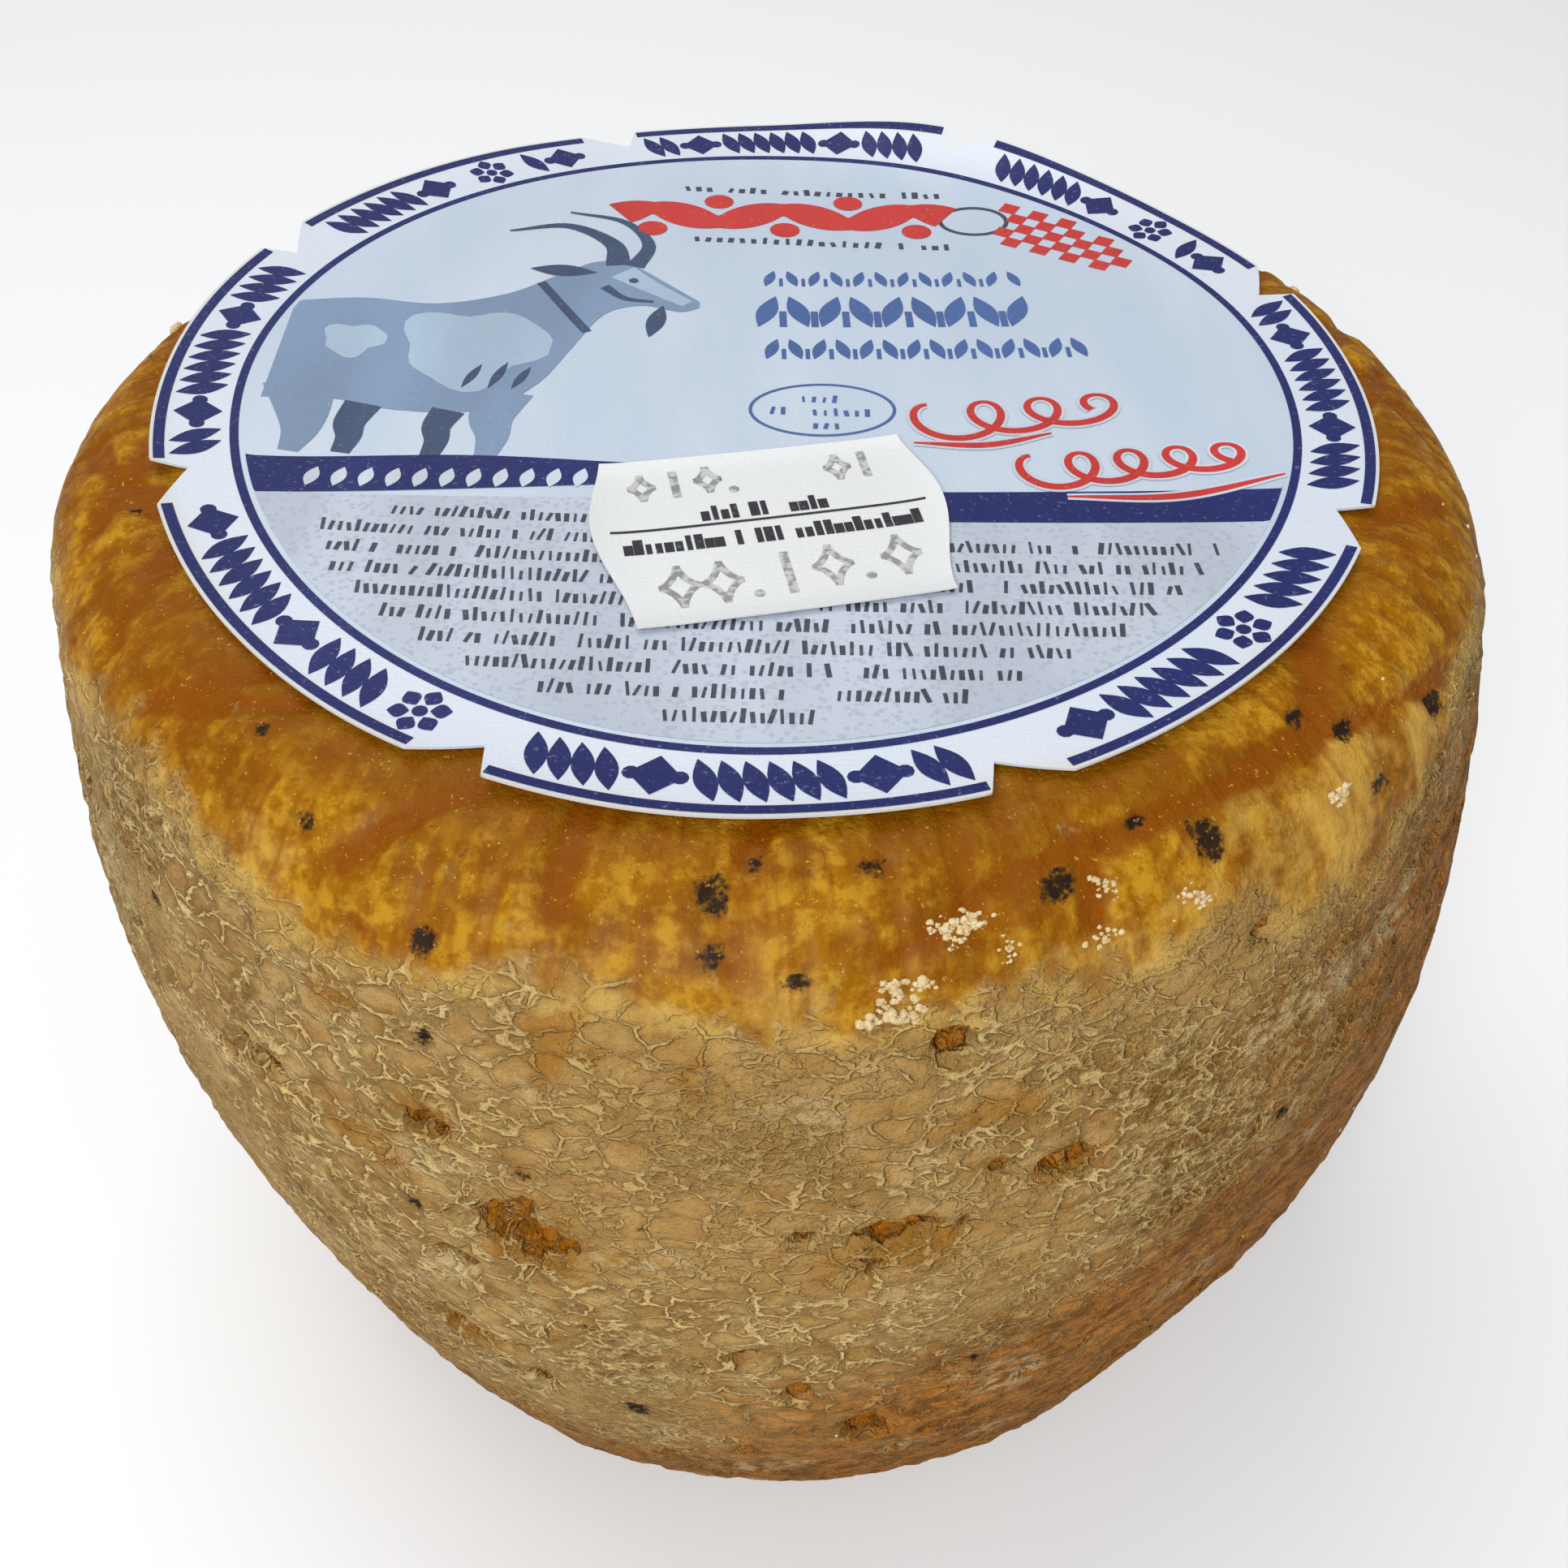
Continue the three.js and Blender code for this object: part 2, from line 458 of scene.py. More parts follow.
@dataclass(frozen=True)
class WheelForm:
    """Sizes of the wheel's plain form and the places where the soft curd leaned or slumped."""

    radius: float
    height: float
    side_bulge: float = 7.5 * MM
    belt_lift: float = 2.75 * MM
    top_edge: float = 7 * MM
    base_edge: float = 10 * MM
    top_fall: float = 0.037
    top_saddle: float = 0.45
    pressed_flank: float = 2.0 * MM
    pressed_at: float = math.radians(25)
    slack_flank: float = 5.0 * MM
    slack_at: float = math.radians(150)
    full_flank: float = 0.8 * MM
    full_at: float = math.radians(-30)
    hollows: tuple[Place, ...] = (
        (math.radians(-134), 1.2 * MM), (math.radians(-54), 1.6 * MM))

    def side_radius(self, height: Array) -> Array:
        """Radius of the side before its edges are rounded: a parabola about the belt."""
        from_belt = (height - self.height / 2 - self.belt_lift) / (self.height / 2)
        return self.radius - self.side_bulge * from_belt**2

    def top_height(self, x: Array, y: Array) -> Array:
        """Height of the top face: a plane that falls to +X, plus a shallow saddle.

        Args:
            x: places across, in metres.
            y: places from front to back, in metres.

        Returns:
            Heights above the base.
        """
        return self.height - self.top_fall * x + self.top_saddle * (x**2 - y**2 - 0.8 * x * y)

    def profile(self, rows: tuple[int, int, int, int, int]) -> tuple[Array, Array]:
        """Half section from the base's middle to the top's middle, without the two end points.

        The base, the side and the top are straight shares, and each edge is a quarter circle
        laid on the side's parabola.

        Args:
            rows: how many steps go into the base, its edge, the side, the top edge and the top.

        Returns:
            Radius and height for each row.
        """
        flat_base = self.side_radius(0.0) - self.base_edge
        flat_top = self.side_radius(self.height) - self.top_edge
        turn = [np.linspace(0, math.pi / 2, steps, endpoint=False) for steps in (rows[1], rows[3])]
        base = flat_base * np.linspace(0, 1, rows[0], endpoint=False)[1:]
        low = self.base_edge * (1 - np.cos(turn[0]))
        low_radius = self.side_radius(low) - self.base_edge * (1 - np.sin(turn[0]))
        side = np.linspace(self.base_edge, self.height - self.top_edge, rows[2], endpoint=False)
        high = self.height - self.top_edge * (1 - np.sin(turn[1]))
        high_radius = self.side_radius(high) - self.top_edge * (1 - np.cos(turn[1]))
        top = flat_top * np.linspace(1, 0, rows[4], endpoint=False) ** 1.6
        radius = np.concatenate([base, low_radius, self.side_radius(side), high_radius, top])
        zeros = np.zeros_like(base)
        height = np.concatenate([zeros, low, side, high, np.full_like(top, self.height)])
        return radius, height

    def leaned(self, around: Array, radius: Array, height: Array) -> Array:
        """Places on the plain form, moved by the flanks and by the lean of the top face.

        A flank is the radius times a bell of the angle from its middle. The lean grows from
        nothing at the base to the whole of it at the top.

        Args:
            around: angles about the axis.
            radius: distances from the axis.
            height: heights above the base.

        Returns:
            Points, three numbers to a place.
        """
        level = height / self.height
        rise = ramp(level, 0.15, 1.0)
        waist = ramp(level, 0.0, 0.14) * ramp(level, 0.75, 0.45)
        flanks = self.full_flank * bell(around, self.full_at, 0.5) * waist
        flanks = flanks - self.pressed_flank * bell(around, self.pressed_at, 0.55) * rise
        slack = self.slack_flank * bell(around, self.slack_at, 0.42) * ramp(level, 0.45, 0.95)
        flanks = flanks - slack
        for middle, depth in self.hollows:
            flanks = flanks - depth * bell(around, middle, 0.25) * waist
        swollen = radius * (1 + flanks / self.radius)
        x, y = swollen * np.cos(around), swollen * np.sin(around)
        lean = (self.top_height(x, y) - self.height) * rise
        return np.stack([x, y, height + lean], axis=-1)


def bell(around: Array, middle: float, spread: float) -> Array:
    """A bell over the angle from a middle, the short way round the circle."""
    off = (around - middle + math.pi) % FULL_TURN - math.pi
    return np.exp(-((off / spread) ** 2))


class MarkKind(Enum):
    """What a mark on the rind is."""

    MOULD = "mould"
    PIT = "pit"
    CRUMB = "crumb"
    STAIN = "stain"


@dataclass(frozen=True)
class Mark:
    """One mark on the rind, placed by its bearing in degrees and its track in millimetres.

    The track is the way over the surface from the middle of the top face.
    """

    kind: MarkKind
    bearing: float
    track: float
    wide: float
    tall: float


def placed_marks(kind: MarkKind, *rows: tuple[float, float, float, float]) -> tuple[Mark, ...]:
    """Marks of one kind, each given by its bearing, track, and half sizes across and down."""
    return tuple(Mark(kind, *row) for row in rows)


@dataclass(frozen=True)
class Streak:
    """A straight dent with darkened rind, left by a rack or cloth, between two places."""

    bearing: float
    track: float
    to_bearing: float
    to_track: float
    width: float


FRONT_STREAKS = (
    Streak(-134, 45, -141, 55, 1.0), Streak(-128, 45, -140, 54, 0.9), Streak(-154, 45, -147, 54, 1.2),
    Streak(-112, 45, -121, 55.5, 1.2), Streak(-104.5, 44, -104.5, 54.5, 1.5),
    Streak(-46, 50, -74, 50, 1.1), Streak(-74, 50, -85, 55, 1.2), Streak(-69.5, 49, -70.5, 56, 1.3),
    Streak(-40, 45, -51, 53, 1.6), Streak(-26, 45, -17, 52, 1.5), Streak(-47, 51, -30, 57, 1.1),
    Streak(-160, 46, -172, 53, 1.2), Streak(-90, 44, -93, 49, 1.4), Streak(-118, 56, -113, 60, 0.9),
)

FRONT_MARKS = (
    *placed_marks(
        MarkKind.MOULD, (-95, 50, 1.5, 1.8), (-94.5, 53.3, 1.1, 1.1), (-89.5, 54.6, 1.2, 0.9),
        (-72, 51.5, 1.8, 1.1), (-61, 52.5, 1.4, 2.2), (-65, 49.6, 1.0, 0.7), (-84, 48.6, 1.3, 0.8),
        (-49, 49, 1.2, 1.0), (-46, 51.6, 1.4, 1.0), (-45.5, 56, 1.9, 1.2), (-36.5, 55.7, 1.8, 1.2),
        (-123.5, 52.2, 1.3, 1.3), (-130.5, 48.8, 0.9, 0.8), (-111.5, 50, 0.8, 0.5),
        (-113, 55.8, 1.3, 1.3), (-112.7, 62.6, 0.8, 1.2), (-107, 58, 0.8, 0.5), (-138, 67, 1.2, 0.9),
        (-107, 72.4, 1.0, 0.7), (-99.5, 75.5, 0.7, 0.6), (-115.5, 80, 0.9, 0.9), (-86, 72.8, 0.9, 0.7),
        (-54.5, 80, 0.8, 1.0), (-102, 105, 1.5, 1.9), (-77.5, 97, 0.7, 1.2), (-104, 90, 0.9, 0.7),
        (-92, 48, 0.9, 0.8), (-160, 47.5, 1.1, 0.8),
    ),
    *placed_marks(
        MarkKind.PIT, (-107.8, 79.5, 3.6, 3.0), (-84, 76, 4.4, 1.2), (-85.2, 79.6, 1.3, 1.2),
        (-113.5, 70.8, 2.0, 1.1), (-72, 72.6, 2.0, 1.3), (-113, 85.6, 2.2, 1.2), (-93, 92, 2.2, 1.0),
        (-80, 60, 1.2, 1.2), (-115, 98, 4.2, 1.6), (-90, 99, 1.2, 2.2), (-85, 108, 1.8, 3.0),
        (-109, 104, 1.4, 2.4), (-58, 60, 1.5, 1.0), (-128, 74, 2.6, 1.2),
    ),
    *placed_marks(
        MarkKind.STAIN, (-95.8, 61.5, 1.6, 3.2), (-113, 70, 4.0, 3.0), (-107, 80, 6.0, 4.5),
        (-120, 62, 3.0, 3.0), (-84, 78, 6.5, 3.4), (-72, 73, 3.2, 2.4), (-104, 60, 3.0, 5.0),
        (-76, 66, 5.0, 2.4), (-115, 98, 6.0, 3.4), (-118, 75, 4.0, 3.0),
    ),
    *placed_marks(
        MarkKind.CRUMB, (-80, 52.6, 0.9, 0.6), (-79, 52.4, 0.9, 0.7), (-78, 52.6, 0.8, 0.6),
        (-79.4, 53.4, 0.5, 0.5), (-68.8, 52.6, 0.7, 0.8), (-69.4, 55.4, 0.9, 0.6),
        (-76.2, 54.4, 0.5, 0.9), (-63.4, 54.8, 0.7, 0.6), (-62.6, 55.6, 0.5, 0.5),
        (-49.5, 54.8, 1.0, 0.5), (-83.4, 55.6, 1.1, 0.8), (-84.2, 57, 1.3, 0.9),
        (-82.6, 56.8, 1.0, 0.8), (-81.8, 55.4, 0.6, 0.5),
    ),
)


class RindSurface:
    """The whole rind: the wheel's form with its wrinkles, net, pits and dents, and its masks."""

    COLUMNS = 600
    ROWS = (8, 18, 92, 20, 24)
    RIM_TRACK = 46.0
    HIDDEN = (-8.0, 188.0)
    ALL_ROUND = (-180.0, 180.0)
    GRAINS = 16

    def __init__(self, form: WheelForm, seed: int = 7) -> None:
        """Lays out the grid of places and works out every mask.

        Args:
            form: the wheel's sizes.
            seed: chooses the scatter of marks where none is listed.
        """
        self.form = form
        self.seed = seed
        radius, height = form.profile(self.ROWS)
        self.around = np.linspace(-math.pi, math.pi, self.COLUMNS, endpoint=False)[None, :]
        self.radius, self.height = radius[:, None], height[:, None]
        self.plain = form.leaned(self.around, self.radius, self.height)
        self.track = self.tracks(radius, height)[:, None] / MM
        self.bearing = np.degrees(self.around)
        self.level = self.height / form.height
        self.normals = grid_normals(self.plain)
        self.streaks = list(FRONT_STREAKS) + self.scattered_streaks()
        self.marks = self.clustered(FRONT_MARKS, seed) + self.scattered_marks()
        self.masks = self.work_out_masks()
        self.points = self.plain + self.normals * self.relief()[..., None] * MM

    @staticmethod
    def tracks(radius: Array, height: Array) -> Array:
        """Way over the surface from the middle of the top face to each row."""
        steps = np.hypot(np.diff(radius[::-1], prepend=0.0), np.diff(height[::-1], prepend=height[-1]))
        return np.cumsum(steps)[::-1]

    def scattered_streaks(self) -> list[Streak]:
        """Crossing pairs of dents round the part of the rim where none is listed."""
        draw = np.random.default_rng(self.seed)
        streaks = []
        for bearing in np.arange(*self.HIDDEN, 15.0):
            start = bearing + draw.uniform(-3, 3)
            slant = draw.uniform(7, 14) * draw.choice([-1, 1])
            end = draw.uniform(52, 57)
            streaks.append(Streak(start, 45, start + slant, end, draw.uniform(0.9, 1.6)))
            streaks.append(Streak(start + slant, 46, start, end - 1, draw.uniform(0.8, 1.3)))
        return streaks

    def scattered_marks(self) -> list[Mark]:
        """Mould, pits, stains and crumbs over the hidden part, and small ones everywhere."""
        draw = np.random.default_rng(self.seed + 1)
        plan = (
            (MarkKind.MOULD, 34, self.HIDDEN, (47, 112), (0.6, 1.6)),
            (MarkKind.PIT, 34, self.HIDDEN, (60, 122), (1.0, 3.4)),
            (MarkKind.STAIN, 30, self.HIDDEN, (57, 115), (2.5, 6.0)),
            (MarkKind.CRUMB, 24, self.HIDDEN, (50, 62), (0.4, 1.1)),
            (MarkKind.MOULD, 26, self.ALL_ROUND, (47, 120), (0.3, 0.6)),
            (MarkKind.PIT, 60, self.ALL_ROUND, (62, 126), (0.6, 1.5)),
            (MarkKind.CRUMB, 90, self.ALL_ROUND, (50, 118), (0.15, 0.4)),
        )
        marks = []
        for kind, count, bearings, tracks, sizes in plan:
            for _ in range(count):
                wide = draw.uniform(*sizes)
                tall = wide * draw.uniform(0.35, 0.9)
                marks.append(Mark(kind, draw.uniform(*bearings), draw.uniform(*tracks), wide, tall))
        return marks

    @staticmethod
    def clustered(marks: tuple[Mark, ...], seed: int) -> list[Mark]:
        """Marks with every crumb broken into a huddle of small grains drawn out sideways."""
        draw = np.random.default_rng(seed)
        out = [mark for mark in marks if mark.kind is not MarkKind.CRUMB]
        for mark in (mark for mark in marks if mark.kind is MarkKind.CRUMB):
            for _ in range(RindSurface.GRAINS):
                size = mark.wide * draw.uniform(0.22, 0.62)
                bearing = mark.bearing + draw.normal() * mark.wide * 0.75
                track = mark.track + draw.normal() * mark.tall * 0.5
                out.append(Mark(MarkKind.CRUMB, bearing, track, size, size * 0.8))
        return out

    def offset(self, bearing: float, track: float) -> tuple[Array, Array]:
        """Distances in millimetres round and down the surface from one place to every point."""
        turn = (self.bearing - bearing + 180) % 360 - 180
        return np.radians(turn) * np.maximum(self.radius, 5 * MM) / MM, self.track - track

    def spots(self, kind: MarkKind, ragged: float, reach: float = 1.3) -> Array:
        """Mask of all the marks of one kind: 1 inside, falling to 0 over a ragged edge.

        Args:
            kind: which marks.
            ragged: how far noise breaks up their outlines.
            reach: how far a mark spreads, as a share of its size.

        Returns:
            The mask, for each point of the grid.
        """
        rough = ragged * self.noise(1.6, 40 + len(kind.value), 3)
        mask = np.zeros(self.plain.shape[:2])
        for mark in (one for one in self.marks if one.kind is kind):
            across, down = self.offset(mark.bearing, mark.track)
            mask = np.maximum(mask, reach - np.hypot(across / mark.wide, down / mark.tall) - rough)
        return ramp(mask, 0.0, 1.0)

    def streak_mask(self) -> Array:
        """Mask of the dents: a soft ridge over the distance from each dent's line."""
        mask = np.zeros(self.plain.shape[:2])
        waver = 0.5 * smooth_noise(self.plain, 5 * MM, 61)
        scale = self.form.radius / MM * math.pi / 180
        for streak in self.streaks:
            across, down = self.offset(streak.bearing, streak.track)
            run = (streak.to_bearing - streak.bearing) * scale
            fall = streak.to_track - streak.track
            share = np.clip((across * run + down * fall) / (run**2 + fall**2), 0, 1)
            away = np.hypot(across - share * run, down - share * fall) + waver
            fade = ramp(share, 1.0, 0.75)
            dent = ramp(away, streak.width * 1.5, streak.width * 0.15) * (0.25 + 0.75 * fade)
            mask = np.maximum(mask, dent)
        return mask

    def near(self, bearing: float, spread: float) -> Array:
        """A bell over the bearing: its middle in degrees and its spread in radians."""
        return bell(self.around, math.radians(bearing), spread)

    def noise(self, size: float, seed: int, octaves: int = 4, stretch: float = 1.0) -> Array:
        """Fractal noise at every point, its lumps in millimetres and made flatter by stretch."""
        return fractal_noise(self.plain * (1, 1, stretch), size * MM, seed, octaves)

    def rim_line(self) -> Array:
        """Track at which the oily shoulder gives way to the dry side: wavy, with two tongues."""
        line = self.RIM_TRACK + 10.8 + 4.6 * self.noise(7, 3, stretch=0.5)
        return line + 3.0 * self.near(-48, 0.2) + 1.5 * self.near(-128, 0.12)

    def russet(self) -> Array:
        """Mask of the browner rind: low down, up the right flank and round the back."""
        lump = self.noise(26, 11, 3)
        right = 1.3 * self.near(-26, 0.6) * ramp(self.track, 55, 68)
        edge = 0.43 + 0.17 * self.near(-50, 0.7)
        low = 1.15 * ramp(self.level + 0.07 * lump, edge + 0.08, edge - 0.10)
        low = low * (1 - 0.75 * self.near(-107, 0.26) * ramp(self.level, 0.24, 0.36))
        low = low * (1 - 0.6 * self.near(-155, 0.45))
        back = 0.5 * self.near(75, 0.9)
        return np.clip(right + low + back + 0.55 * lump - 0.22, 0, 1)

    def crumbly(self) -> Array:
        """Mask of the crumbly curd: patches on the side, and all of it near the base."""
        smooth_face = 0.45 * self.near(-98, 0.55) * ramp(self.level, 0.3, 0.5)
        patches = ramp(self.noise(12, 17, 3) - smooth_face, -0.32, 0.16)
        return np.maximum(patches, ramp(self.level, 0.42, 0.2))

    def sheer(self) -> Array:
        """Mask of the smooth waxy rind: two placed areas below the shoulder, and patches."""
        tan = self.near(-93, 0.26) * ramp(self.track, 56, 60) * ramp(self.track, 76, 66)
        creamy = self.near(-60, 0.28) * ramp(self.track, 52, 57) * ramp(self.track, 68, 60)
        wax = ramp(self.noise(15, 29, 3, 1.4), 0.16, 0.42) * ramp(self.track, 58, 64)
        return np.maximum(np.maximum(tan, creamy), 0.75 * wax)

    def deep(self) -> Array:
        """Mask of painted shade beside the label's rim, drawn as the darkest amber close to the label, with
        two placed pools.
        """
        pools = 0.3 + 0.9 * self.near(-138, 0.4) + 0.7 * self.near(-48, 0.3)
        return np.clip(pools + 1.4 * self.noise(10, 83, 3), 0, 1) * ramp(self.track, 54, 46)

    def cream(self) -> Array:
        """Mask of the pale curd low on the shoulder: three placed areas, and patches."""
        patchy = ramp(self.noise(7, 87, 3), 0.12, 0.5)
        placed = self.near(-51, 0.2) * ramp(self.track, 49, 52)
        placed = placed + self.near(-126, 0.09) * ramp(self.track, 51.5, 54)
        placed = placed + 0.7 * self.near(-72, 0.16) * ramp(self.track, 53.5, 56)
        broken = 0.65 + 0.9 * self.noise(5, 89, 3)
        return np.clip(placed * broken + 0.8 * patchy * ramp(self.track, 51, 56), 0, 1)

    def work_out_masks(self) -> dict[str, Array]:
        """Every mask that the relief and the finish share."""
        rim_line = self.rim_line()
        amber = ramp(self.track, rim_line + 4.2, rim_line - 4.2)
        return {
            "amber": amber,
            "streak": self.streak_mask() * ramp(self.track, 60, 56),
            "russet": self.russet(),
            "crumbly": self.crumbly() * (1 - amber),
            "bloom": ramp(self.noise(8, 23, stretch=1.6), 0.18, 0.5) * ramp(self.track, 57, 66),
            "seam": np.exp(-(((self.track - rim_line - 1.0) / 1.6) ** 2)),
            "sheer": self.sheer(),
            "deep": self.deep(),
            "cream": self.cream(),
            "mould": self.spots(MarkKind.MOULD, 0.5, 1.2),
            "pit": self.spots(MarkKind.PIT, 0.9),
            "stain": self.spots(MarkKind.STAIN, 0.9),
            "crease": self.creases(),
        }

    def creases(self) -> Array:
        """Fine wrinkles over the shoulder: thin valleys of noise drawn out along the track.

        The noise is read at the bearing in fine steps and the track in long ones, and a wrinkle
        is where it passes through zero.
        """
        waver = 0.9 * smooth_noise(self.plain, 6 * MM, 71)
        place = np.stack(np.broadcast_arrays(
            np.cos(self.around) * 40 + waver, np.sin(self.around) * 40 + waver, self.track / 9), axis=-1)
        thin = ramp(np.abs(fractal_noise(place, 1.7, 73, 2)), 0.14, 0.0)
        return thin * ramp(self.track, 64, 54) * ramp(self.track, 38, 44)

    def relief(self) -> Array:
        """How far each point stands proud of the plain form, in millimetres."""
        masks = self.masks
        on_side, on_base = ramp(self.track, 55, 60), ramp(self.level, 0.02, 0.1)
        lumps = 0.55 * self.noise(20, 5, 3) + 0.16 * self.noise(5, 6, 3)
        edges = cell_edges(self.warped_places(), 4.2 * MM, 31)
        net = 0.16 * ramp(edges, 0.22, 0.0) - 0.08 * ramp(edges, 0.15, 0.6)
        crumbs = 0.32 * masks["crumbly"] * self.noise(1.9, 33, 2, 1.5)
        gaps = ramp(self.noise(5.5, 35, 3, 2.8), 0.30, 0.62)
        shoulder = masks["amber"] * (0.07 * self.noise(2.2, 37, 3) - 0.24 * masks["crease"])
        netted = net * (1 - 0.5 * masks["crumbly"]) + crumbs - 0.65 * gaps
        side = on_side * (1 - 0.6 * masks["sheer"]) * netted
        marks = 0.25 * masks["seam"] * ramp(self.noise(3, 39, 2), -0.2, 0.5)
        marks = marks - 1.7 * masks["pit"] - 0.42 * masks["streak"] - 0.12 * masks["mould"]
        total = on_base * ramp(self.track, 43.0, 46.5) * (lumps + side + shoulder + marks)
        return np.where(self.track < self.RIM_TRACK + 0.6, np.minimum(total, 0), total)

    def warped_places(self) -> Array:
        """Places for the net of curd grains, flattened and pushed about to bend its borders."""
        push = np.stack([smooth_noise(self.plain, 3.5 * MM, 50 + axis) for axis in range(3)], axis=-1)
        return (self.plain + 1.3 * MM * push) * (1, 1, 1.55)

    def patch(self) -> Patch:
        """The closed skin, with the base's middle and the top's middle as its poles."""
        top = np.array([0, 0, float(self.form.top_height(0.0, 0.0))])
        return capped_rings(self.points, np.zeros(3), top)

    def all_masks(self) -> dict[str, Array]:
        """The masks for each point of the mesh, with a last value for each pole."""
        grid = self.points.shape[:2]
        return {name: np.append(np.broadcast_to(mask, grid).ravel(), [mask[0, 0], mask[-1, 0]])
                for name, mask in self.masks.items()}

    def place_of(self, mark: Mark) -> tuple[Array, Array]:
        """The surface's point and outward direction at a mark, from the four points about it."""
        row = float(np.interp(-mark.track, -self.track[:, 0], np.arange(len(self.track))))
        column = (mark.bearing + 180) / 360 * self.COLUMNS
        rows = np.clip([math.floor(row), math.floor(row) + 1], 0, len(self.track) - 1)
        columns = np.array([math.floor(column), math.floor(column) + 1]) % self.COLUMNS
        down, onward = row - math.floor(row), column - math.floor(column)
        weights = np.outer([1 - down, down], [1 - onward, onward])[..., None]
        blend = lambda grid: (grid[np.ix_(rows, columns)] * weights).sum(axis=(0, 1))
        return blend(self.points), blend(self.normals)


def grid_normals(points: Array) -> Array:
    """Outward directions over a stack of rings: the cross product of the steps round and up.

    Args:
        points: rows x columns x 3, with each row a closed ring.

    Returns:
        Unit vectors, one to a point.
    """
    round_step = np.roll(points, -1, axis=1) - np.roll(points, 1, axis=1)
    up_step = np.gradient(points, axis=0)
    across = np.cross(round_step, up_step)
    return across / np.maximum(np.linalg.norm(across, axis=-1, keepdims=True), 1e-12)


class Rind:
    """The cheese itself and the white crumbs that cling to it."""

    def __init__(self, surface: RindSurface) -> None:
        """Keeps the worked-out surface."""
        self.surface = surface

    def build(self, skin: Material, crumb: Material) -> None:
        """Makes both pieces.

        Args:
            skin: finish of the rind.
            crumb: finish of the crumbs.
        """
        wheel = make_piece("rind", self.surface.patch(), self.surface.all_masks())
        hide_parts("cheese_wheel")
        finish_piece(wheel, skin)
        finish_piece(make_piece("rind_crumbs", self.crumbs()), crumb)

    def crumbs(self) -> Patch:
        """Lumpy grains of dried curd and salt: small closed balls dented by noise."""
        rows, columns = 4, 8
        polar = np.linspace(math.pi, 0, rows + 2)[1:-1, None]
        around = np.linspace(0, FULL_TURN, columns, endpoint=False)[None, :]
        ball = np.stack(np.broadcast_arrays(
            np.sin(polar) * np.cos(around), np.sin(polar) * np.sin(around), np.cos(polar)), axis=-1)
        patches = []
        marks = [mark for mark in self.surface.marks if mark.kind is MarkKind.CRUMB]
        for number, mark in enumerate(marks):
            middle, out = self.surface.place_of(mark)
            side = np.cross([0.0, 0.0, 1.0], out)
            side = side / np.linalg.norm(side)
            along, up = np.cross(out, side) * mark.tall, out * mark.tall * 0.7
            axes = np.stack([side * mark.wide, along, up]) * 0.72 * MM
            dents = 0.8 + 0.55 * smooth_noise(ball + 9.0 * number, 0.6, 91)[..., None]
            shaped = (ball * dents) @ axes + middle
            patches.append(capped_rings(shaped, middle - axes[2], middle + axes[2]))
        return Patch.joined(patches)


# ---------------------------------------------------------------- flat prints that follow the paper


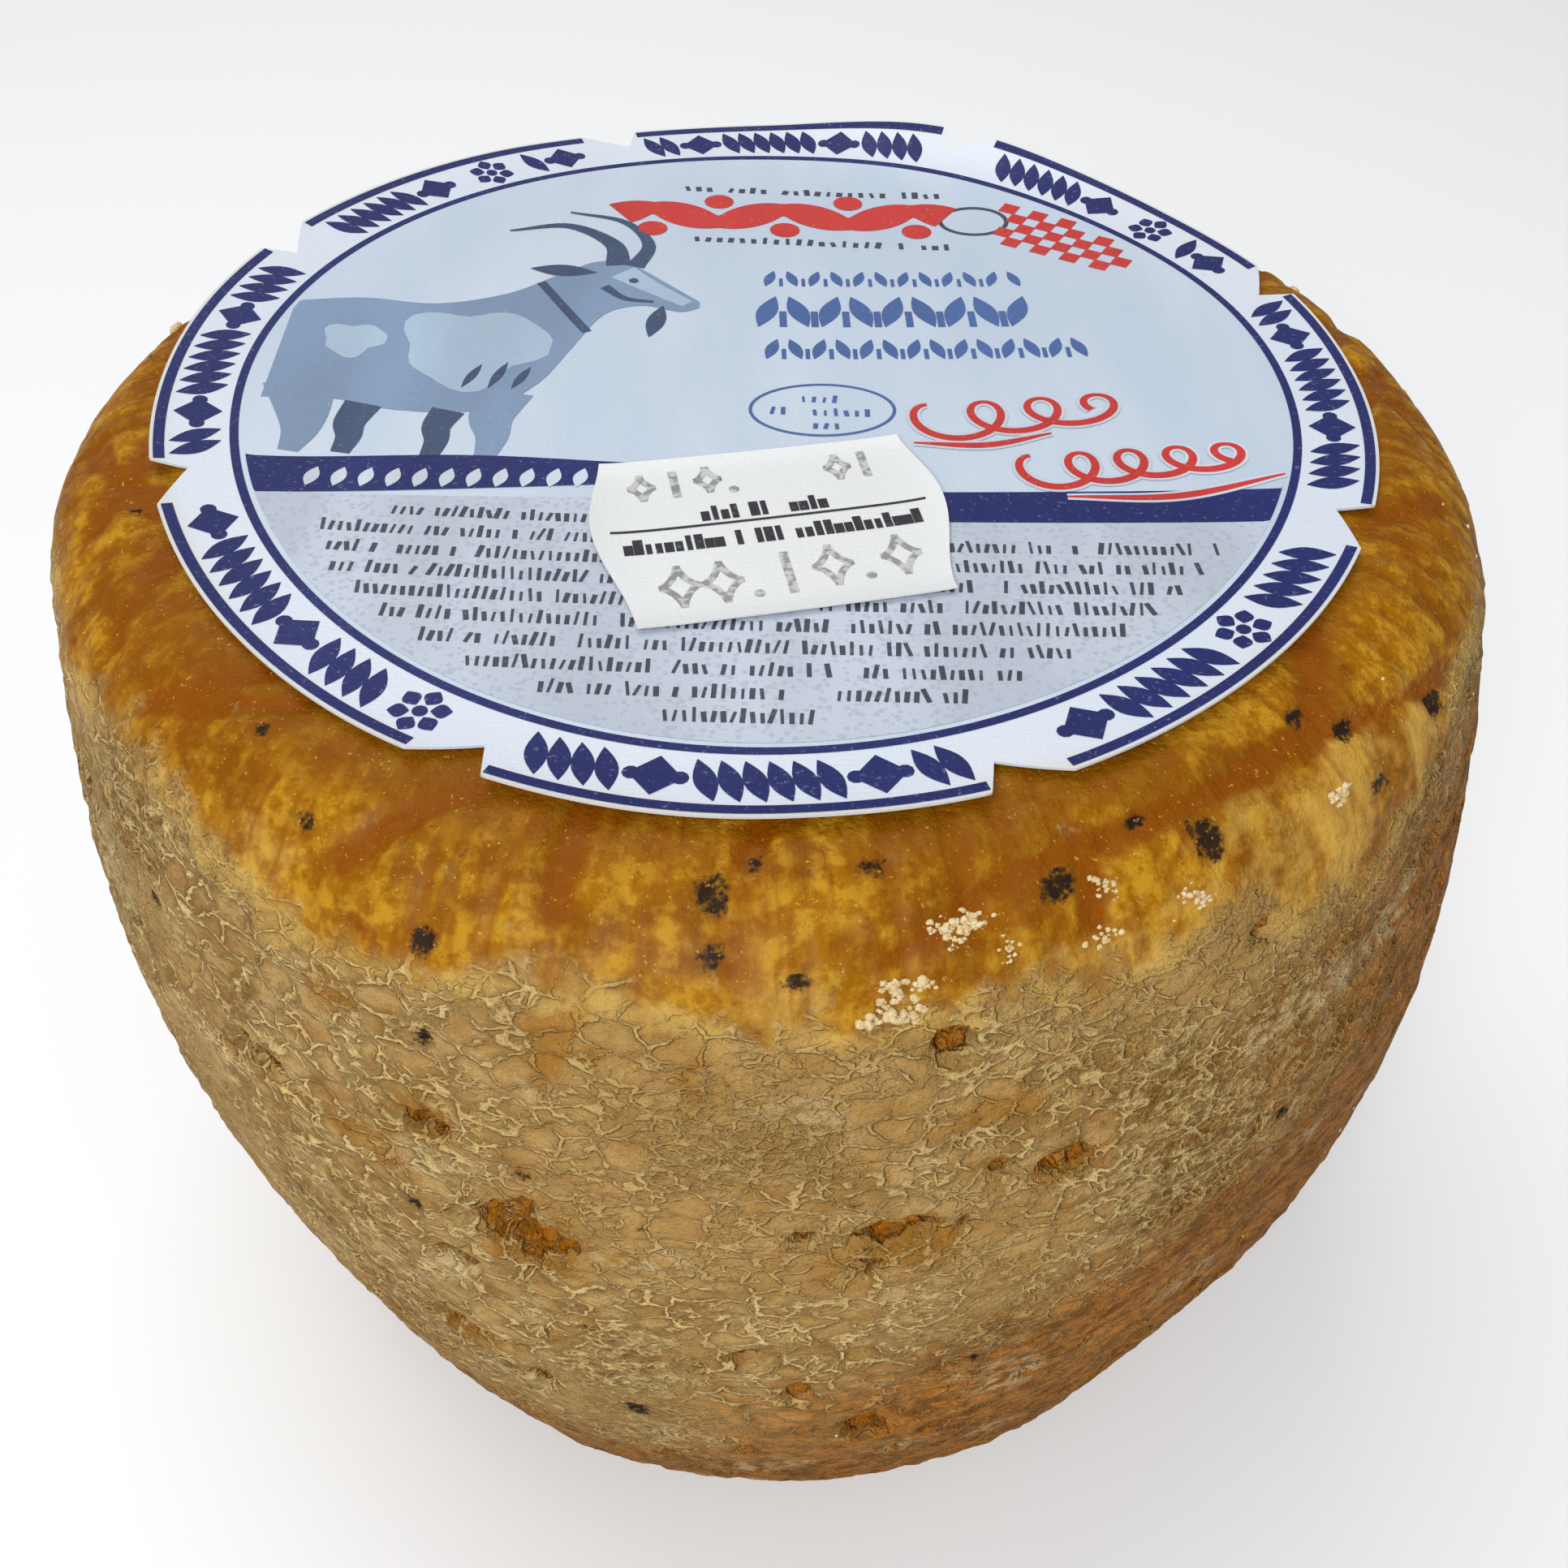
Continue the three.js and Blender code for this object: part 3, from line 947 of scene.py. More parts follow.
@dataclass(frozen=True)
class Sheet:
    """A gently curved paper surface that prints are laid on.

    Attributes:
        height: gives the surface's height over each place across and from front to back.
        lift: how far the prints stand off the paper.
        ink: how thick the prints are.
    """

    height: Callable[[Array, Array], Array]
    lift: float = 0.03 * MM
    ink: float = 0.012 * MM

    def raised(self, flat: Array, layer: int, top: bool) -> Array:
        """Places on the sheet, given in millimetres, as points on a print's top or underside."""
        x, y = flat[..., 0] * MM, flat[..., 1] * MM
        level = self.height(x, y) + self.lift * (1 + 0.5 * layer) + (self.ink if top else 0.0)
        return np.stack([x, y, level], axis=-1)

    def slab(self, flat: Array, layer: int = 0, closed: bool = False) -> Patch:
        """A closed thin slab over a grid of places.

        Args:
            flat: rows x columns x 2, in millimetres.
            layer: how many prints lie beneath this one.
            closed: whether the last row joins the first.

        Returns:
            The closed slab.
        """
        across, along = np.diff(flat, axis=1)[:-1], np.diff(flat, axis=0)[:, :-1]
        area = (across[..., 0] * along[..., 1] - across[..., 1] * along[..., 0]).sum()
        flat = flat if area > 0 else flat[:, ::-1]
        top, under = self.raised(flat, layer, True), self.raised(flat[:, ::-1], layer, False)
        rings = np.concatenate([top, under], axis=1)
        rows, ring = rings.shape[:2]
        faces = [grid_quads(rows, ring, closed, True)]
        if not closed:
            step = np.arange(ring // 2 - 1)
            near = np.stack([step, ring - 1 - step, ring - 2 - step, step + 1], axis=-1)
            faces += [near, near[:, ::-1] + (rows - 1) * ring]
        return Patch(rings.reshape(-1, 3), np.concatenate(faces))

    def disc(self, middle: Place, radii: Array, layer: int = 0) -> Patch:
        """A closed thin disc whose radius may change round it, in millimetres."""
        around = np.linspace(0, FULL_TURN, len(radii), endpoint=False)
        outline = radii[:, None] * np.stack([np.cos(around), np.sin(around)], axis=-1)
        centre = np.array(middle, float)
        under = [self.raised(centre + outline * share, layer, False) for share in (0.5, 1.0)]
        top = [self.raised(centre + outline * share, layer, True) for share in (1.0, 0.5)]
        poles = [self.raised(centre, layer, side) for side in (False, True)]
        return capped_rings(np.stack(under + top), *poles)

    def stamps(self, middles: Array, turns: Array, halves: Array, layer: int = 0) -> Patch:
        """Many small rectangles, each with its own turn and half sizes in millimetres."""
        corners = np.array([[-1, -1], [1, -1], [1, 1], [-1, 1]]) * halves[:, None, :]
        cos, sin = np.cos(turns)[:, None], np.sin(turns)[:, None]
        x = corners[..., 0] * cos - corners[..., 1] * sin
        y = corners[..., 0] * sin + corners[..., 1] * cos
        flat = np.stack([x, y], axis=-1) + middles[:, None, :]
        points = np.concatenate([self.raised(flat, layer, side) for side in (False, True)], axis=1)
        box = [[3, 2, 1, 0], [4, 5, 6, 7], [0, 1, 5, 4], [1, 2, 6, 5], [2, 3, 7, 6], [3, 0, 4, 7]]
        faces = np.array(box)[None] + 8 * np.arange(len(middles))[:, None, None]
        return Patch(points.reshape(-1, 3), faces.reshape(-1, 4))

    def stroke(self, path: Array, width: Array | float, layer: int = 0, closed: bool = False) -> Patch:
        """A line of changing width carried along a path, in millimetres."""
        if closed:
            along = np.roll(path, -1, axis=0) - np.roll(path, 1, axis=0)
        else:
            along = np.gradient(path, axis=0)
        side = np.stack([along[:, 1], -along[:, 0]], axis=-1)
        side = side / np.linalg.norm(side, axis=-1, keepdims=True)
        half = 0.5 * np.broadcast_to(width, len(path))[:, None] * side
        lanes = 2 + int(np.max(width) / 1.5)
        share = np.linspace(-1, 1, lanes)[None, :, None]
        return self.slab(path[:, None] + half[:, None] * share, layer, closed)

    def leaf(self, start: Place, end: Place, width: float,
             layer: int = 0) -> Patch:
        """A pointed oval from one place to another, in millimetres."""
        share = np.linspace(0, 1, 9)
        path = np.array(start) + share[:, None] * (np.array(end) - np.array(start))
        return self.stroke(path, 0.04 + width * np.sin(math.pi * share), layer)


def curve(knots: list[Place], steps: int = 24) -> Array:
    """A smooth path through a few places: a Catmull-Rom spline.

    Args:
        knots: the places, two numbers each.
        steps: how many points the whole path has.

    Returns:
        The path's points.
    """
    given = np.array(knots, float)
    padded = np.concatenate([[2 * given[0] - given[1]], given, [2 * given[-1] - given[-2]]])
    at = np.linspace(0, len(given) - 1, steps)
    span = np.minimum(at.astype(int), len(given) - 2)
    t = (at - span)[:, None]
    a, b, c, d = (padded[span + shift] for shift in range(4))
    return 0.5 * (2 * b + (c - a) * t + (2 * a - 5 * b + 4 * c - d) * t**2 + (3 * b - a - 3 * c + d) * t**3)


# ---------------------------------------------------------------- paper label


@dataclass(frozen=True)
class LabelForm:
    """Sizes of the round label and the way its paper lies on the cheese."""

    wheel: WheelForm
    radius: float
    thickness: float = 0.2 * MM
    paste: float = 0.05 * MM
    notches: int = 8
    notch_start: float = math.radians(19)
    notch_half: float = 2.7 * MM
    notch_depth: float = 2.5 * MM
    notch_lean: float = 1.5 * MM
    rim_lift: float = 0.35 * MM
    rings: int = 40
    columns: int = 456

    def bearings(self) -> tuple[Array, Array]:
        """Angles and radii of the corners of every notch, three to a notch."""
        notch = np.arange(self.notches)
        middle = self.notch_start + notch * FULL_TURN / self.notches
        lean = np.where(notch % 2 == 0, -1, 1) * self.notch_lean / self.radius
        half = self.notch_half / self.radius
        angles = np.stack([middle - half, middle + lean, middle + half], axis=-1).ravel()
        radii = np.tile([self.radius, self.radius - self.notch_depth, self.radius], self.notches)
        return angles, radii

    def outline(self) -> tuple[Array, Array]:
        """Angles round the rim, with a step at each notch corner, and the rim's radius there."""
        corners, radii = self.bearings()
        even = np.linspace(0, FULL_TURN, self.columns, endpoint=False)
        around = np.sort(np.concatenate([even, corners]))
        return around, np.interp(around, corners, radii, period=FULL_TURN)

    def height(self, x: Array, y: Array) -> Array:
        """Height of the paper's face: the wheel's top, faint cockles, and a rim that lifts."""
        place = np.stack(np.broadcast_arrays(x, y, 0 * x), axis=-1)
        reach = np.clip(np.hypot(x, y) / self.radius, 0, 1)
        cockle = 0.09 * MM * (smooth_noise(place, 13 * MM, 81) + 1) * reach
        around = np.arctan2(y, x)
        near = lambda bearing, spread: bell(around, math.radians(bearing), spread)
        edge = reach**14 * self.rim_lift * (1.2 + smooth_noise(place, 16 * MM, 83))
        edge = edge + reach**9 * 0.5 * MM * (near(-72, 0.35) + near(170, 0.5))
        edge = edge + (0.4 * reach**3 + 0.7 * reach**8) * MM * near(100, 0.85)
        edge = edge + 1.9 * reach**9 * MM * near(66, 0.36)
        return self.wheel.top_height(x, y) + self.paste + self.thickness + cockle + edge


class PaperLabel:
    """The round paper label and everything printed on it."""

    RING = 40.0
    CLEAR_OF_RING = 39.3
    TILT = 0.055
    BORDER_MIDDLE = 42.6
    ROSETTES = (36.0, 126.0, 239.0, 315.0)

    def __init__(self, form: LabelForm, seed: int = 3) -> None:
        """Keeps the form and opens a sheet for the prints."""
        self.form = form
        self.sheet = Sheet(form.height)
        self.draw = np.random.default_rng(seed)

    def paper(self) -> Patch:
        """The paper: rings that are round inside and take up the notched outline near the rim."""
        form = self.form
        around, rim = form.outline()
        share = np.linspace(0, 1, form.rings + 1)[1:, None] ** 0.8
        reach = share * (form.radius + (rim - form.radius) * ramp(share, 0.86, 1.0))
        x, y = reach * np.cos(around), reach * np.sin(around)
        top = np.stack([x, y, form.height(x, y)], axis=-1)
        under = top - (0, 0, form.thickness)
        middle = float(form.height(np.zeros(1), np.zeros(1))[0])
        poles = np.array([[0, 0, middle - form.thickness], [0, 0, middle]])
        return capped_rings(np.concatenate([under, top[::-1]]), *poles)

    @staticmethod
    def circle(radius: float, steps: int = 360) -> Array:
        """A circle about the label's middle."""
        around = np.linspace(0, FULL_TURN, steps, endpoint=False)
        return radius * np.stack([np.cos(around), np.sin(around)], axis=-1)

    def ring_lines(self) -> list[Patch]:
        """The navy line along the rim, broken at every notch, and the one round the picture."""
        form, lines = self.form, []
        half, pitch = form.notch_half / form.radius, FULL_TURN / form.notches
        for notch in range(form.notches):
            start = form.notch_start + notch * pitch + half
            around = np.linspace(start, start + pitch - 2 * half, 50)
            rim = np.stack([np.cos(around), np.sin(around)], axis=-1)
            lines.append(self.sheet.stroke((form.radius / MM - 0.62) * rim, 0.74))
        return lines + [self.sheet.stroke(self.circle(self.RING), 0.62, closed=True)]

    def border(self) -> list[Patch]:
        """Leaves, lozenges and beads round the white border, broken by four rosettes."""
        rosettes = np.array(self.ROSETTES)
        notches = math.degrees(self.form.notch_start) + 45.0 * np.arange(8)
        at = np.arange(0, 360, 2.0)
        off = lambda others: np.abs((at[:, None] - others + 180) % 360 - 180).min(axis=1)
        kept = (off(rosettes) > 4.6) & (off(notches) > 4.4)
        lozenge = np.arange(len(at)) % 9 == 4
        beside = np.roll(lozenge, 1) | np.roll(lozenge, -1)
        patches = []
        for angle in at[kept & ~lozenge & ~beside]:
            start, end = self.around(angle - 0.9, 40.9), self.around(angle + 0.9, 44.4)
            patches.append(self.sheet.leaf(tuple(start), tuple(end), 1.4))
        for angle in at[kept & beside]:
            patches.append(self.sheet.disc(tuple(self.around(angle)), np.full(10, 0.55)))
        angle = at[kept & lozenge]
        halves = np.full((len(angle), 2), 1.2)
        patches.append(self.sheet.stamps(self.around(angle), np.radians(angle + 45), halves))
        for angle in rosettes:
            patches += self.rosette(angle)
        return patches

    @staticmethod
    def around(angle: Array, reach: float = BORDER_MIDDLE) -> Array:
        """Places at the given angles, in degrees, about the label's middle."""
        return reach * np.stack([np.cos(np.radians(angle)), np.sin(np.radians(angle))], axis=-1)

    def rosette(self, angle: float) -> list[Patch]:
        """A disc and six petals in the border."""
        centre = self.around(angle)
        patches = [self.sheet.disc(tuple(centre), np.full(12, 0.5))]
        for petal in np.radians(angle) + np.arange(6) * FULL_TURN / 6:
            tip = np.array([math.cos(petal), math.sin(petal)])
            patches.append(self.sheet.leaf(tuple(centre + 0.65 * tip), tuple(centre + 2.0 * tip), 1.2))
        return patches

    def between(self, start: float, end: float, upper: Callable, lower: Callable, layer: int = 0,
                steps: tuple[int, int] = (40, 5)) -> Patch:
        """A plain area between two curves over x, kept inside the ring.

        Args:
            start: where the area begins, in millimetres across.
            end: where it stops.
            upper: gives the upper curve over x.
            lower: gives the lower curve over x.
            layer: how many prints lie beneath.
            steps: number of points across and up.

        Returns:
            The closed slab.
        """
        x = np.linspace(start, end, steps[0])[:, None]
        share = np.linspace(0, 1, steps[1])[None, :]
        y = lower(x) + (upper(x) - lower(x)) * share
        reach = np.hypot(x, y)
        inside = np.minimum(1, self.CLEAR_OF_RING / np.maximum(reach, 1))
        return self.sheet.slab(np.stack([x * inside, y * inside], axis=-1), layer)

    def band(self) -> list[Patch]:
        """The navy band across the picture, tapering where its left part sweeps to the middle."""
        left = self.between(
            -39, -3, lambda x: -10.4 + 0.4 * np.cos((x + 22) / 5), lambda x: -15.2 + (x + 39) * 0.07, 1)
        right = self.between(
            11, 39.2, lambda x: -14.4 - (x - 11) * 0.02, lambda x: -17.9 - (x - 11) * 0.035, 1)
        return [left, right]

    def goat(self) -> dict[str, list[Patch]]:
        """A plain goat in three tones, its body cut off by the ring at the left."""
        sheet = self.sheet
        back = curve([(-38.2, 10.5), (-33, 11.6), (-27, 11.2), (-21.5, 13.2), (-17.6, 16.6), (-14.4, 19.2),
                      (-11.4, 18.6), (-8.2, 15.4), (-5.6, 12.6)], 90)
        chest = curve([(-38.2, -3.4), (-33, -3.2), (-28, -4.4), (-22, -4.2), (-18, -0.6), (-15.6, 5),
                       (-13.4, 10.2), (-10.4, 11.8), (-7.2, 10.9), (-5.6, 11.6)], 90)
        over = lambda line: lambda x: np.interp(x, line[:, 0], line[:, 1])
        body = self.between(-38.2, -5.6, over(back), over(chest), steps=(60, 12))
        limb = lambda knots, wide, thin, layer=0: sheet.stroke(
            curve(knots), np.linspace(wide, thin, 24), layer)
        legs = [limb(knots, wide, 1.5) for knots, wide in (
            ([(-20.2, -1.6), (-20.9, -5), (-20.6, -7.6), (-20.9, -10.3)], 4.4),
            ([(-35.8, -1.0), (-34.9, -4.6), (-34.6, -7.4), (-35.0, -10.0)], 5.4))]
        far_legs = [limb(knots, wide, 1.4) for knots, wide in (
            ([(-24.2, -4.3), (-24.8, -6.4), (-24.6, -8.2), (-24.9, -10.2)], 2.6),
            ([(-30.6, -3.7), (-31.2, -6.2), (-31.0, -8.0), (-31.3, -10.0)], 2.9))]
        turn = np.linspace(0, FULL_TURN, 36)
        patch = 5.6 + 0.8 * np.sin(3 * turn) + 0.5 * np.cos(5 * turn)
        shoulder, flank = sheet.disc((-23.4, 4.8), patch, 1), sheet.disc((-32.8, 5.2), 0.42 * patch, 1)
        blaze = limb([(-12.2, 17.4), (-10, 15.2), (-6.6, 12.2)], 2.6, 1.2, 1)
        horn = limb([(-12.6, 18.6), (-13.4, 22.6), (-17.4, 25.6), (-22.4, 24.2)], 2.2, 0.25, 1)
        other = limb([(-11.2, 18.4), (-10.2, 22.6), (-12.6, 26.8), (-17.4, 28.2)], 1.6, 0.25, 1)
        ear = sheet.leaf((-14.4, 17.2), (-20.0, 17.6), 1.9, 2)
        beard = sheet.leaf((-8.6, 11.8), (-9.6, 6.8), 1.5, 1)
        tufts = [sheet.leaf((x, 1.6 + 0.2 * x % 1), (x - 1.2, -1.2), 0.7, 2) for x in (-18.6, -20.4, -22.4)]
        collar = sheet.stroke(curve([(-18.9, 15.2), (-16.4, 10.6), (-14.6, 7.4)]), 0.8, 2)
        eye = sheet.disc((-11.2, 15.9), np.full(10, 0.42), 3)
        cheek = limb([(-13.6, 14.8), (-11.8, 12.9), (-9.4, 12.4)], 0.9, 0.3, 2)
        return {"slate": [body, *legs], "pale": [shoulder, flank, blaze],
                "dark": [horn, other, ear, beard, collar, eye, cheek, *tufts, *far_legs]}

    def ticks(self, rows: list[tuple[float, float, float, float]], pitch: float, slim: float,
              layer: int = 0) -> Patch:
        """Rows of small upright ticks in groups, where fine print would be.

        Args:
            rows: for each row its left end, right end, level and half height.
            pitch: from one tick to the next.
            slim: half width of a tick.
            layer: how many prints lie beneath.

        Returns:
            All the ticks.
        """
        middles, halves = [], []
        for start, end, level, half in rows:
            x = np.arange(start, end, pitch)
            x = x[(self.draw.random(len(x)) > 0.13) & (np.hypot(x, level - self.TILT * x) < 37.4)]
            tall = half * self.draw.choice([0.7, 0.76, 1.0], len(x))
            middles.append(np.stack([x, level + tall - half - self.TILT * x], axis=-1))
            halves.append(np.stack([slim * self.draw.uniform(0.7, 1.5, len(x)), tall], axis=-1))
        places = np.concatenate(middles)
        turns = 0.12 * self.draw.normal(size=len(places)) - self.TILT
        return self.sheet.stamps(places, turns, np.concatenate(halves), layer)

    def fine_print(self) -> Patch:
        """Nine rows of ticks under the band, as wide as the ring leaves room for."""
        wide = (31, 35, 32, 33, 31, 27, 25, 19, 7)
        rows = [(-half, half - 0.9 * (number % 3), -20.0 - 2.13 * number, 0.64)
                for number, half in enumerate(wide)]
        return self.ticks([(-27, -6, -17.9, 0.6)] + rows, 0.6, 0.125, 2)

    def red_prints(self) -> list[Patch]:
        """A garland at the top, a chequered patch beside it and a looping flourish at the right."""
        sheet = self.sheet
        wave = np.linspace(0, 1, 90)
        garland = np.stack([-13 + 29.5 * wave, 28.4 + 1.25 * np.sin(wave * 5 * math.pi)], axis=-1)
        patches = [sheet.stroke(garland, 2.3 + 1.7 * np.abs(np.cos(wave * 5 * math.pi)))]
        for number in range(5):
            up = 1 if number % 2 else -1
            patches.append(sheet.disc((-10 + 5.9 * number, 28.4 + 2.7 * up), np.full(14, 1.35), 1))
        i, j = (axis.ravel() for axis in np.meshgrid(np.arange(-9, 10), np.arange(-9, 10)))
        i, j = i[(i + j) % 2 == 0], j[(i + j) % 2 == 0]
        turn = math.radians(-32)
        x = 27.2 + 1.4 * (i * math.cos(turn) - j * math.sin(turn))
        y = 26.8 + 1.4 * (i * math.sin(turn) + j * math.cos(turn))
        kept = (np.hypot(x, y) < 38.4) & (np.abs(j) < 5) & (np.abs(i) < 8) & (x > 21.0) & (y > 18.5)
        squares = np.stack([x, y], axis=-1)[kept]
        patches.append(sheet.stamps(squares, np.full(len(squares), turn), np.full((len(squares), 2), 0.76)))
        patches += [sheet.stroke(path, width, 3) for path, width in self.flourish()]
        return patches

    @staticmethod
    def flourish() -> list[tuple[Array, Array]]:
        """Paths and widths of the looping strokes: circles rolled along a slope, over two underlines."""
        loops = []
        plan = (((12, -5.6), (26.5, -3.6), 3.3, 2.5), ((19, -12.2), (35, -10.4), 4.4, 2.1))
        for start, end, turns, size in plan:
            share = np.linspace(0, 1, 150)
            turn = share * turns * FULL_TURN
            line = np.array(start) + share[:, None] * (np.array(end) - np.array(start))
            roll = np.stack([-0.85 * np.sin(turn), np.cos(turn) * (1 - 0.35 * share)], axis=-1) * size
            loops.append((line + roll, 0.42 + 0.3 * np.abs(np.sin(turn / 2))))
        share = np.linspace(0, 1, 40)
        underlines = (((10.6, -8.2), (16, -8.6), (21, -7.2)), ((21, -15.2), (29, -15.4), (37, -13.2)))
        for start, middle, end in underlines:
            loops.append((curve([start, middle, end], 40), 0.2 + 0.5 * np.sin(math.pi * share)))
        return loops

    def titles(self) -> list[Patch]:
        """Three rows of leaves and bars where a title would be, and an oval frame under them."""
        sheet, patches = self.sheet, []
        rows = ((0.3, 22, 16.8, 1.3, 1.9), (0, 23, 11.2, 2.5, 2.6), (0.3, 26, 5.2, 1.5, 1.9))
        for start, end, level, half, pitch in rows:
            for number, x in enumerate(np.arange(start, end, pitch)):
                lean = 0.3 * half * (-1 if number % 2 else 1)
                foot, head = (x - lean, level - half), (x + lean, level + half)
                patches.append(sheet.leaf(foot, head, half * 0.66))
            x = np.arange(start + pitch / 2, end - pitch, pitch)
            middles = np.stack([x, 0 * x + level - 0.5 * half], axis=-1)
            halves = np.tile([0.12 * half, 0.5 * half], (len(x), 1))
            patches.append(sheet.stamps(middles, 0 * x, halves))
        around = np.linspace(0, FULL_TURN, 60, endpoint=False)
        oval = np.stack([4 + 5.5 * np.cos(around), -3.6 + 3.5 * np.sin(around)], axis=-1)
        patches.append(sheet.stroke(oval, 0.26, closed=True))
        rows = [(2.6, 5.6, -1.9, 0.5), (0.2, 7.9, -3.7, 0.5), (2.6, 5.6, -5.5, 0.5)]
        patches.append(self.ticks(rows, 0.8, 0.13))
        return patches

    def build(self, paper: Material, inks: dict["Ink", Material]) -> None:
        """Makes the paper and its prints.

        Args:
            paper: finish of the paper.
            inks: finish of each ink.
        """
        sheet = make_piece("label_paper", self.paper())
        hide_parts("paper_label")
        finish_piece(sheet, paper)
        goat = self.goat()
        ring = lambda x: -np.sqrt(np.maximum(self.CLEAR_OF_RING**2 - x**2, 15.2**2))
        lower = self.between(-39.2, 39.2, lambda x: -14.9 + 0 * x, ring, steps=(48, 20))
        lozenges = [self.sheet.leaf((x, -13.4 + 0.02 * x), (x + 0.5, -11.2 + 0.02 * x), 1.0, 2)
                    for x in np.arange(-33, -6, 1.9)]
        halo = [self.sheet.stroke(path, width + 0.5, 2) for path, width in self.flourish()]
        grey_rows = self.ticks([(-8, 17, 33.4, 0.55), (-6, 18, 23.6, 0.55)], 1.0, 0.2)
        badge = np.array([18.9, 27.6]) + self.circle(1.0, 40) * (3.0, 2.5)
        badge = self.sheet.stroke(badge, 0.4, closed=True)
        prints = {
            "label_rings": (Ink.NAVY, self.ring_lines() + self.border() + self.band()),
            "label_tint": (Ink.HALFTONE, [lower]),
            "label_goat_body": (Ink.SLATE, goat["slate"]),
            "label_goat_light": (Ink.PALE, goat["pale"]),
            "label_goat_dark": (Ink.DEEP, goat["dark"]),
            "label_garland": (Ink.RED, self.red_prints()),
            "label_titles": (Ink.BLUE, self.titles()),
            "label_fine_rows": (Ink.GREY, [self.fine_print(), grey_rows, badge]),
            "label_knockout": (Ink.WHITE, lozenges + halo),
        }
        for name, (ink, patches) in prints.items():
            finish_piece(make_piece(name, Patch.joined(patches)), inks[ink])


# ---------------------------------------------------------------- lot sticker


@dataclass(frozen=True)
class StickerForm:
    """Sizes of the lot sticker and its place on the label."""

    label: LabelForm
    length: float = 25 * MM
    width: float = 18 * MM
    thickness: float = 0.12 * MM
    gum: float = 0.1 * MM
    forward: float = 18.6 * MM
    turn: float = math.radians(10)
    wave_depth: float = 1.8 * MM
    wave_length: float = 21 * MM

    def placed(self, along: Array, across: Array) -> tuple[Array, Array]:
        """Places on the sticker as places over the wheel."""
        cos, sin = math.cos(self.turn), math.sin(self.turn)
        return along * cos - across * sin, along * sin + across * cos - self.forward

    def height(self, x: Array, y: Array) -> Array:
        """Height of the sticker's face: it follows the label, with its ends slightly curled up."""
        cos, sin = math.cos(self.turn), math.sin(self.turn)
        along, across = x * cos + (y + self.forward) * sin, -x * sin + (y + self.forward) * cos
        curl = 0.35 * MM * (2 * np.abs(along) / self.length) ** 8
        curl = curl + 0.25 * MM * (2 * np.abs(across) / self.width) ** 10
        return self.label.height(x, y) + self.gum + self.thickness + curl


class LotSticker:
    """The white sticker across the label, with its rule, bars and faint stamped marks."""

    def __init__(self, form: StickerForm) -> None:
        """Keeps the form and opens a sheet for the prints."""
        self.form = form
        self.sheet = Sheet(form.height)

    def paper(self) -> Patch:
        """The paper: a grid whose ends follow a cosine wave."""
        form = self.form
        across = np.linspace(-0.5, 0.5, 25)[:, None] * form.width
        wave = 1 + np.cos((across + form.width / 2) / form.wave_length * FULL_TURN)
        half = form.length / 2 - form.wave_depth * wave / 2
        along = np.linspace(-1, 1, 41)[None, :] * half
        x, y = form.placed(along, np.broadcast_to(across, along.shape))
        sheet = Sheet(lambda a, b: form.height(a, b) - form.thickness, 0.0, form.thickness)
        return sheet.slab(np.stack([x, y], axis=-1) / MM)

    def at(self, along: Array, across: Array) -> Array:
        """Places on the sticker, in millimetres, as places over the wheel in millimetres."""
        x, y = self.form.placed(np.asarray(along) * MM, np.asarray(across) * MM)
        return np.stack(np.broadcast_arrays(x, y), axis=-1) / MM

    def bars(self, start: float, end: float, level: float, half: float, pitch: float, seed: int) -> Patch:
        """A row of upright bars of changing height, in groups."""
        draw = np.random.default_rng(seed)
        along = np.arange(start, end, pitch)
        along = along[draw.random(len(along)) > 0.1]
        tall = half * draw.choice([0.66, 1.0], len(along))
        halves = np.stack([0.24 * draw.uniform(0.8, 1.5, len(along)), tall], axis=-1)
        turns = np.full(len(along), self.form.turn)
        return self.sheet.stamps(self.at(along, level + tall - half), turns, halves)

    def stamped(self) -> list[Patch]:
        """Hollow four-pointed stars, slim bars and dots in the faint grey of a date stamp."""
        around = np.linspace(0, FULL_TURN, 28, endpoint=False) + 0.11
        patches = []
        plan = ((-8.4, 6.0, 1.0), (-6.0, 6.1, 1.0), (-3.6, 6.3, 1.0), (5.9, 6.2, 1.0), (7.9, 6.2, 1.0),
                (-7.3, -5.1, 1.45), (-4.4, -5.1, 1.45), (0.1, -4.9, 1.45), (3.2, -4.7, 1.45),
                (8.0, -4.5, 1.45))
        for number, (along, across, size) in enumerate(plan):
            if number % 3 == 1:
                bar = self.at(np.full(8, along), across + np.linspace(-1.5, 1.5, 8) * size)
                patches.append(self.sheet.stroke(bar, 0.62))
            else:
                x, y = 0.95 * size * np.cos(around) ** 3, 1.5 * size * np.sin(around) ** 3
                star = self.at(along + x, across + y)
                patches.append(self.sheet.stroke(star, 0.5, closed=True))
        for along, across in ((-2.2, -6.7), (5.5, -6.3), (-1.9, 4.9)):
            patches.append(self.sheet.disc(tuple(self.at(along, across)), np.full(10, 0.38)))
        return patches

    def build(self, paper: Material, inks: dict["Ink", Material]) -> None:
        """Makes the sticker and its prints."""
        sheet = make_piece("sticker_paper", self.paper())
        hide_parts("lot_sticker")
        finish_piece(sheet, paper)
        rule = self.sheet.stroke(self.at(np.linspace(-11.2, 11.2, 30), 1.15), 0.24)
        dark = [rule, self.bars(-4.4, 4.4, 2.4, 0.8, 0.7, 5), self.bars(-10.2, 10.4, -0.6, 0.8, 0.7, 6)]
        prints = {"sticker_bars": (Ink.BLACK, dark), "sticker_stamp": (Ink.STAMP, self.stamped())}
        for name, (ink, patches) in prints.items():
            finish_piece(make_piece(name, Patch.joined(patches)), inks[ink])


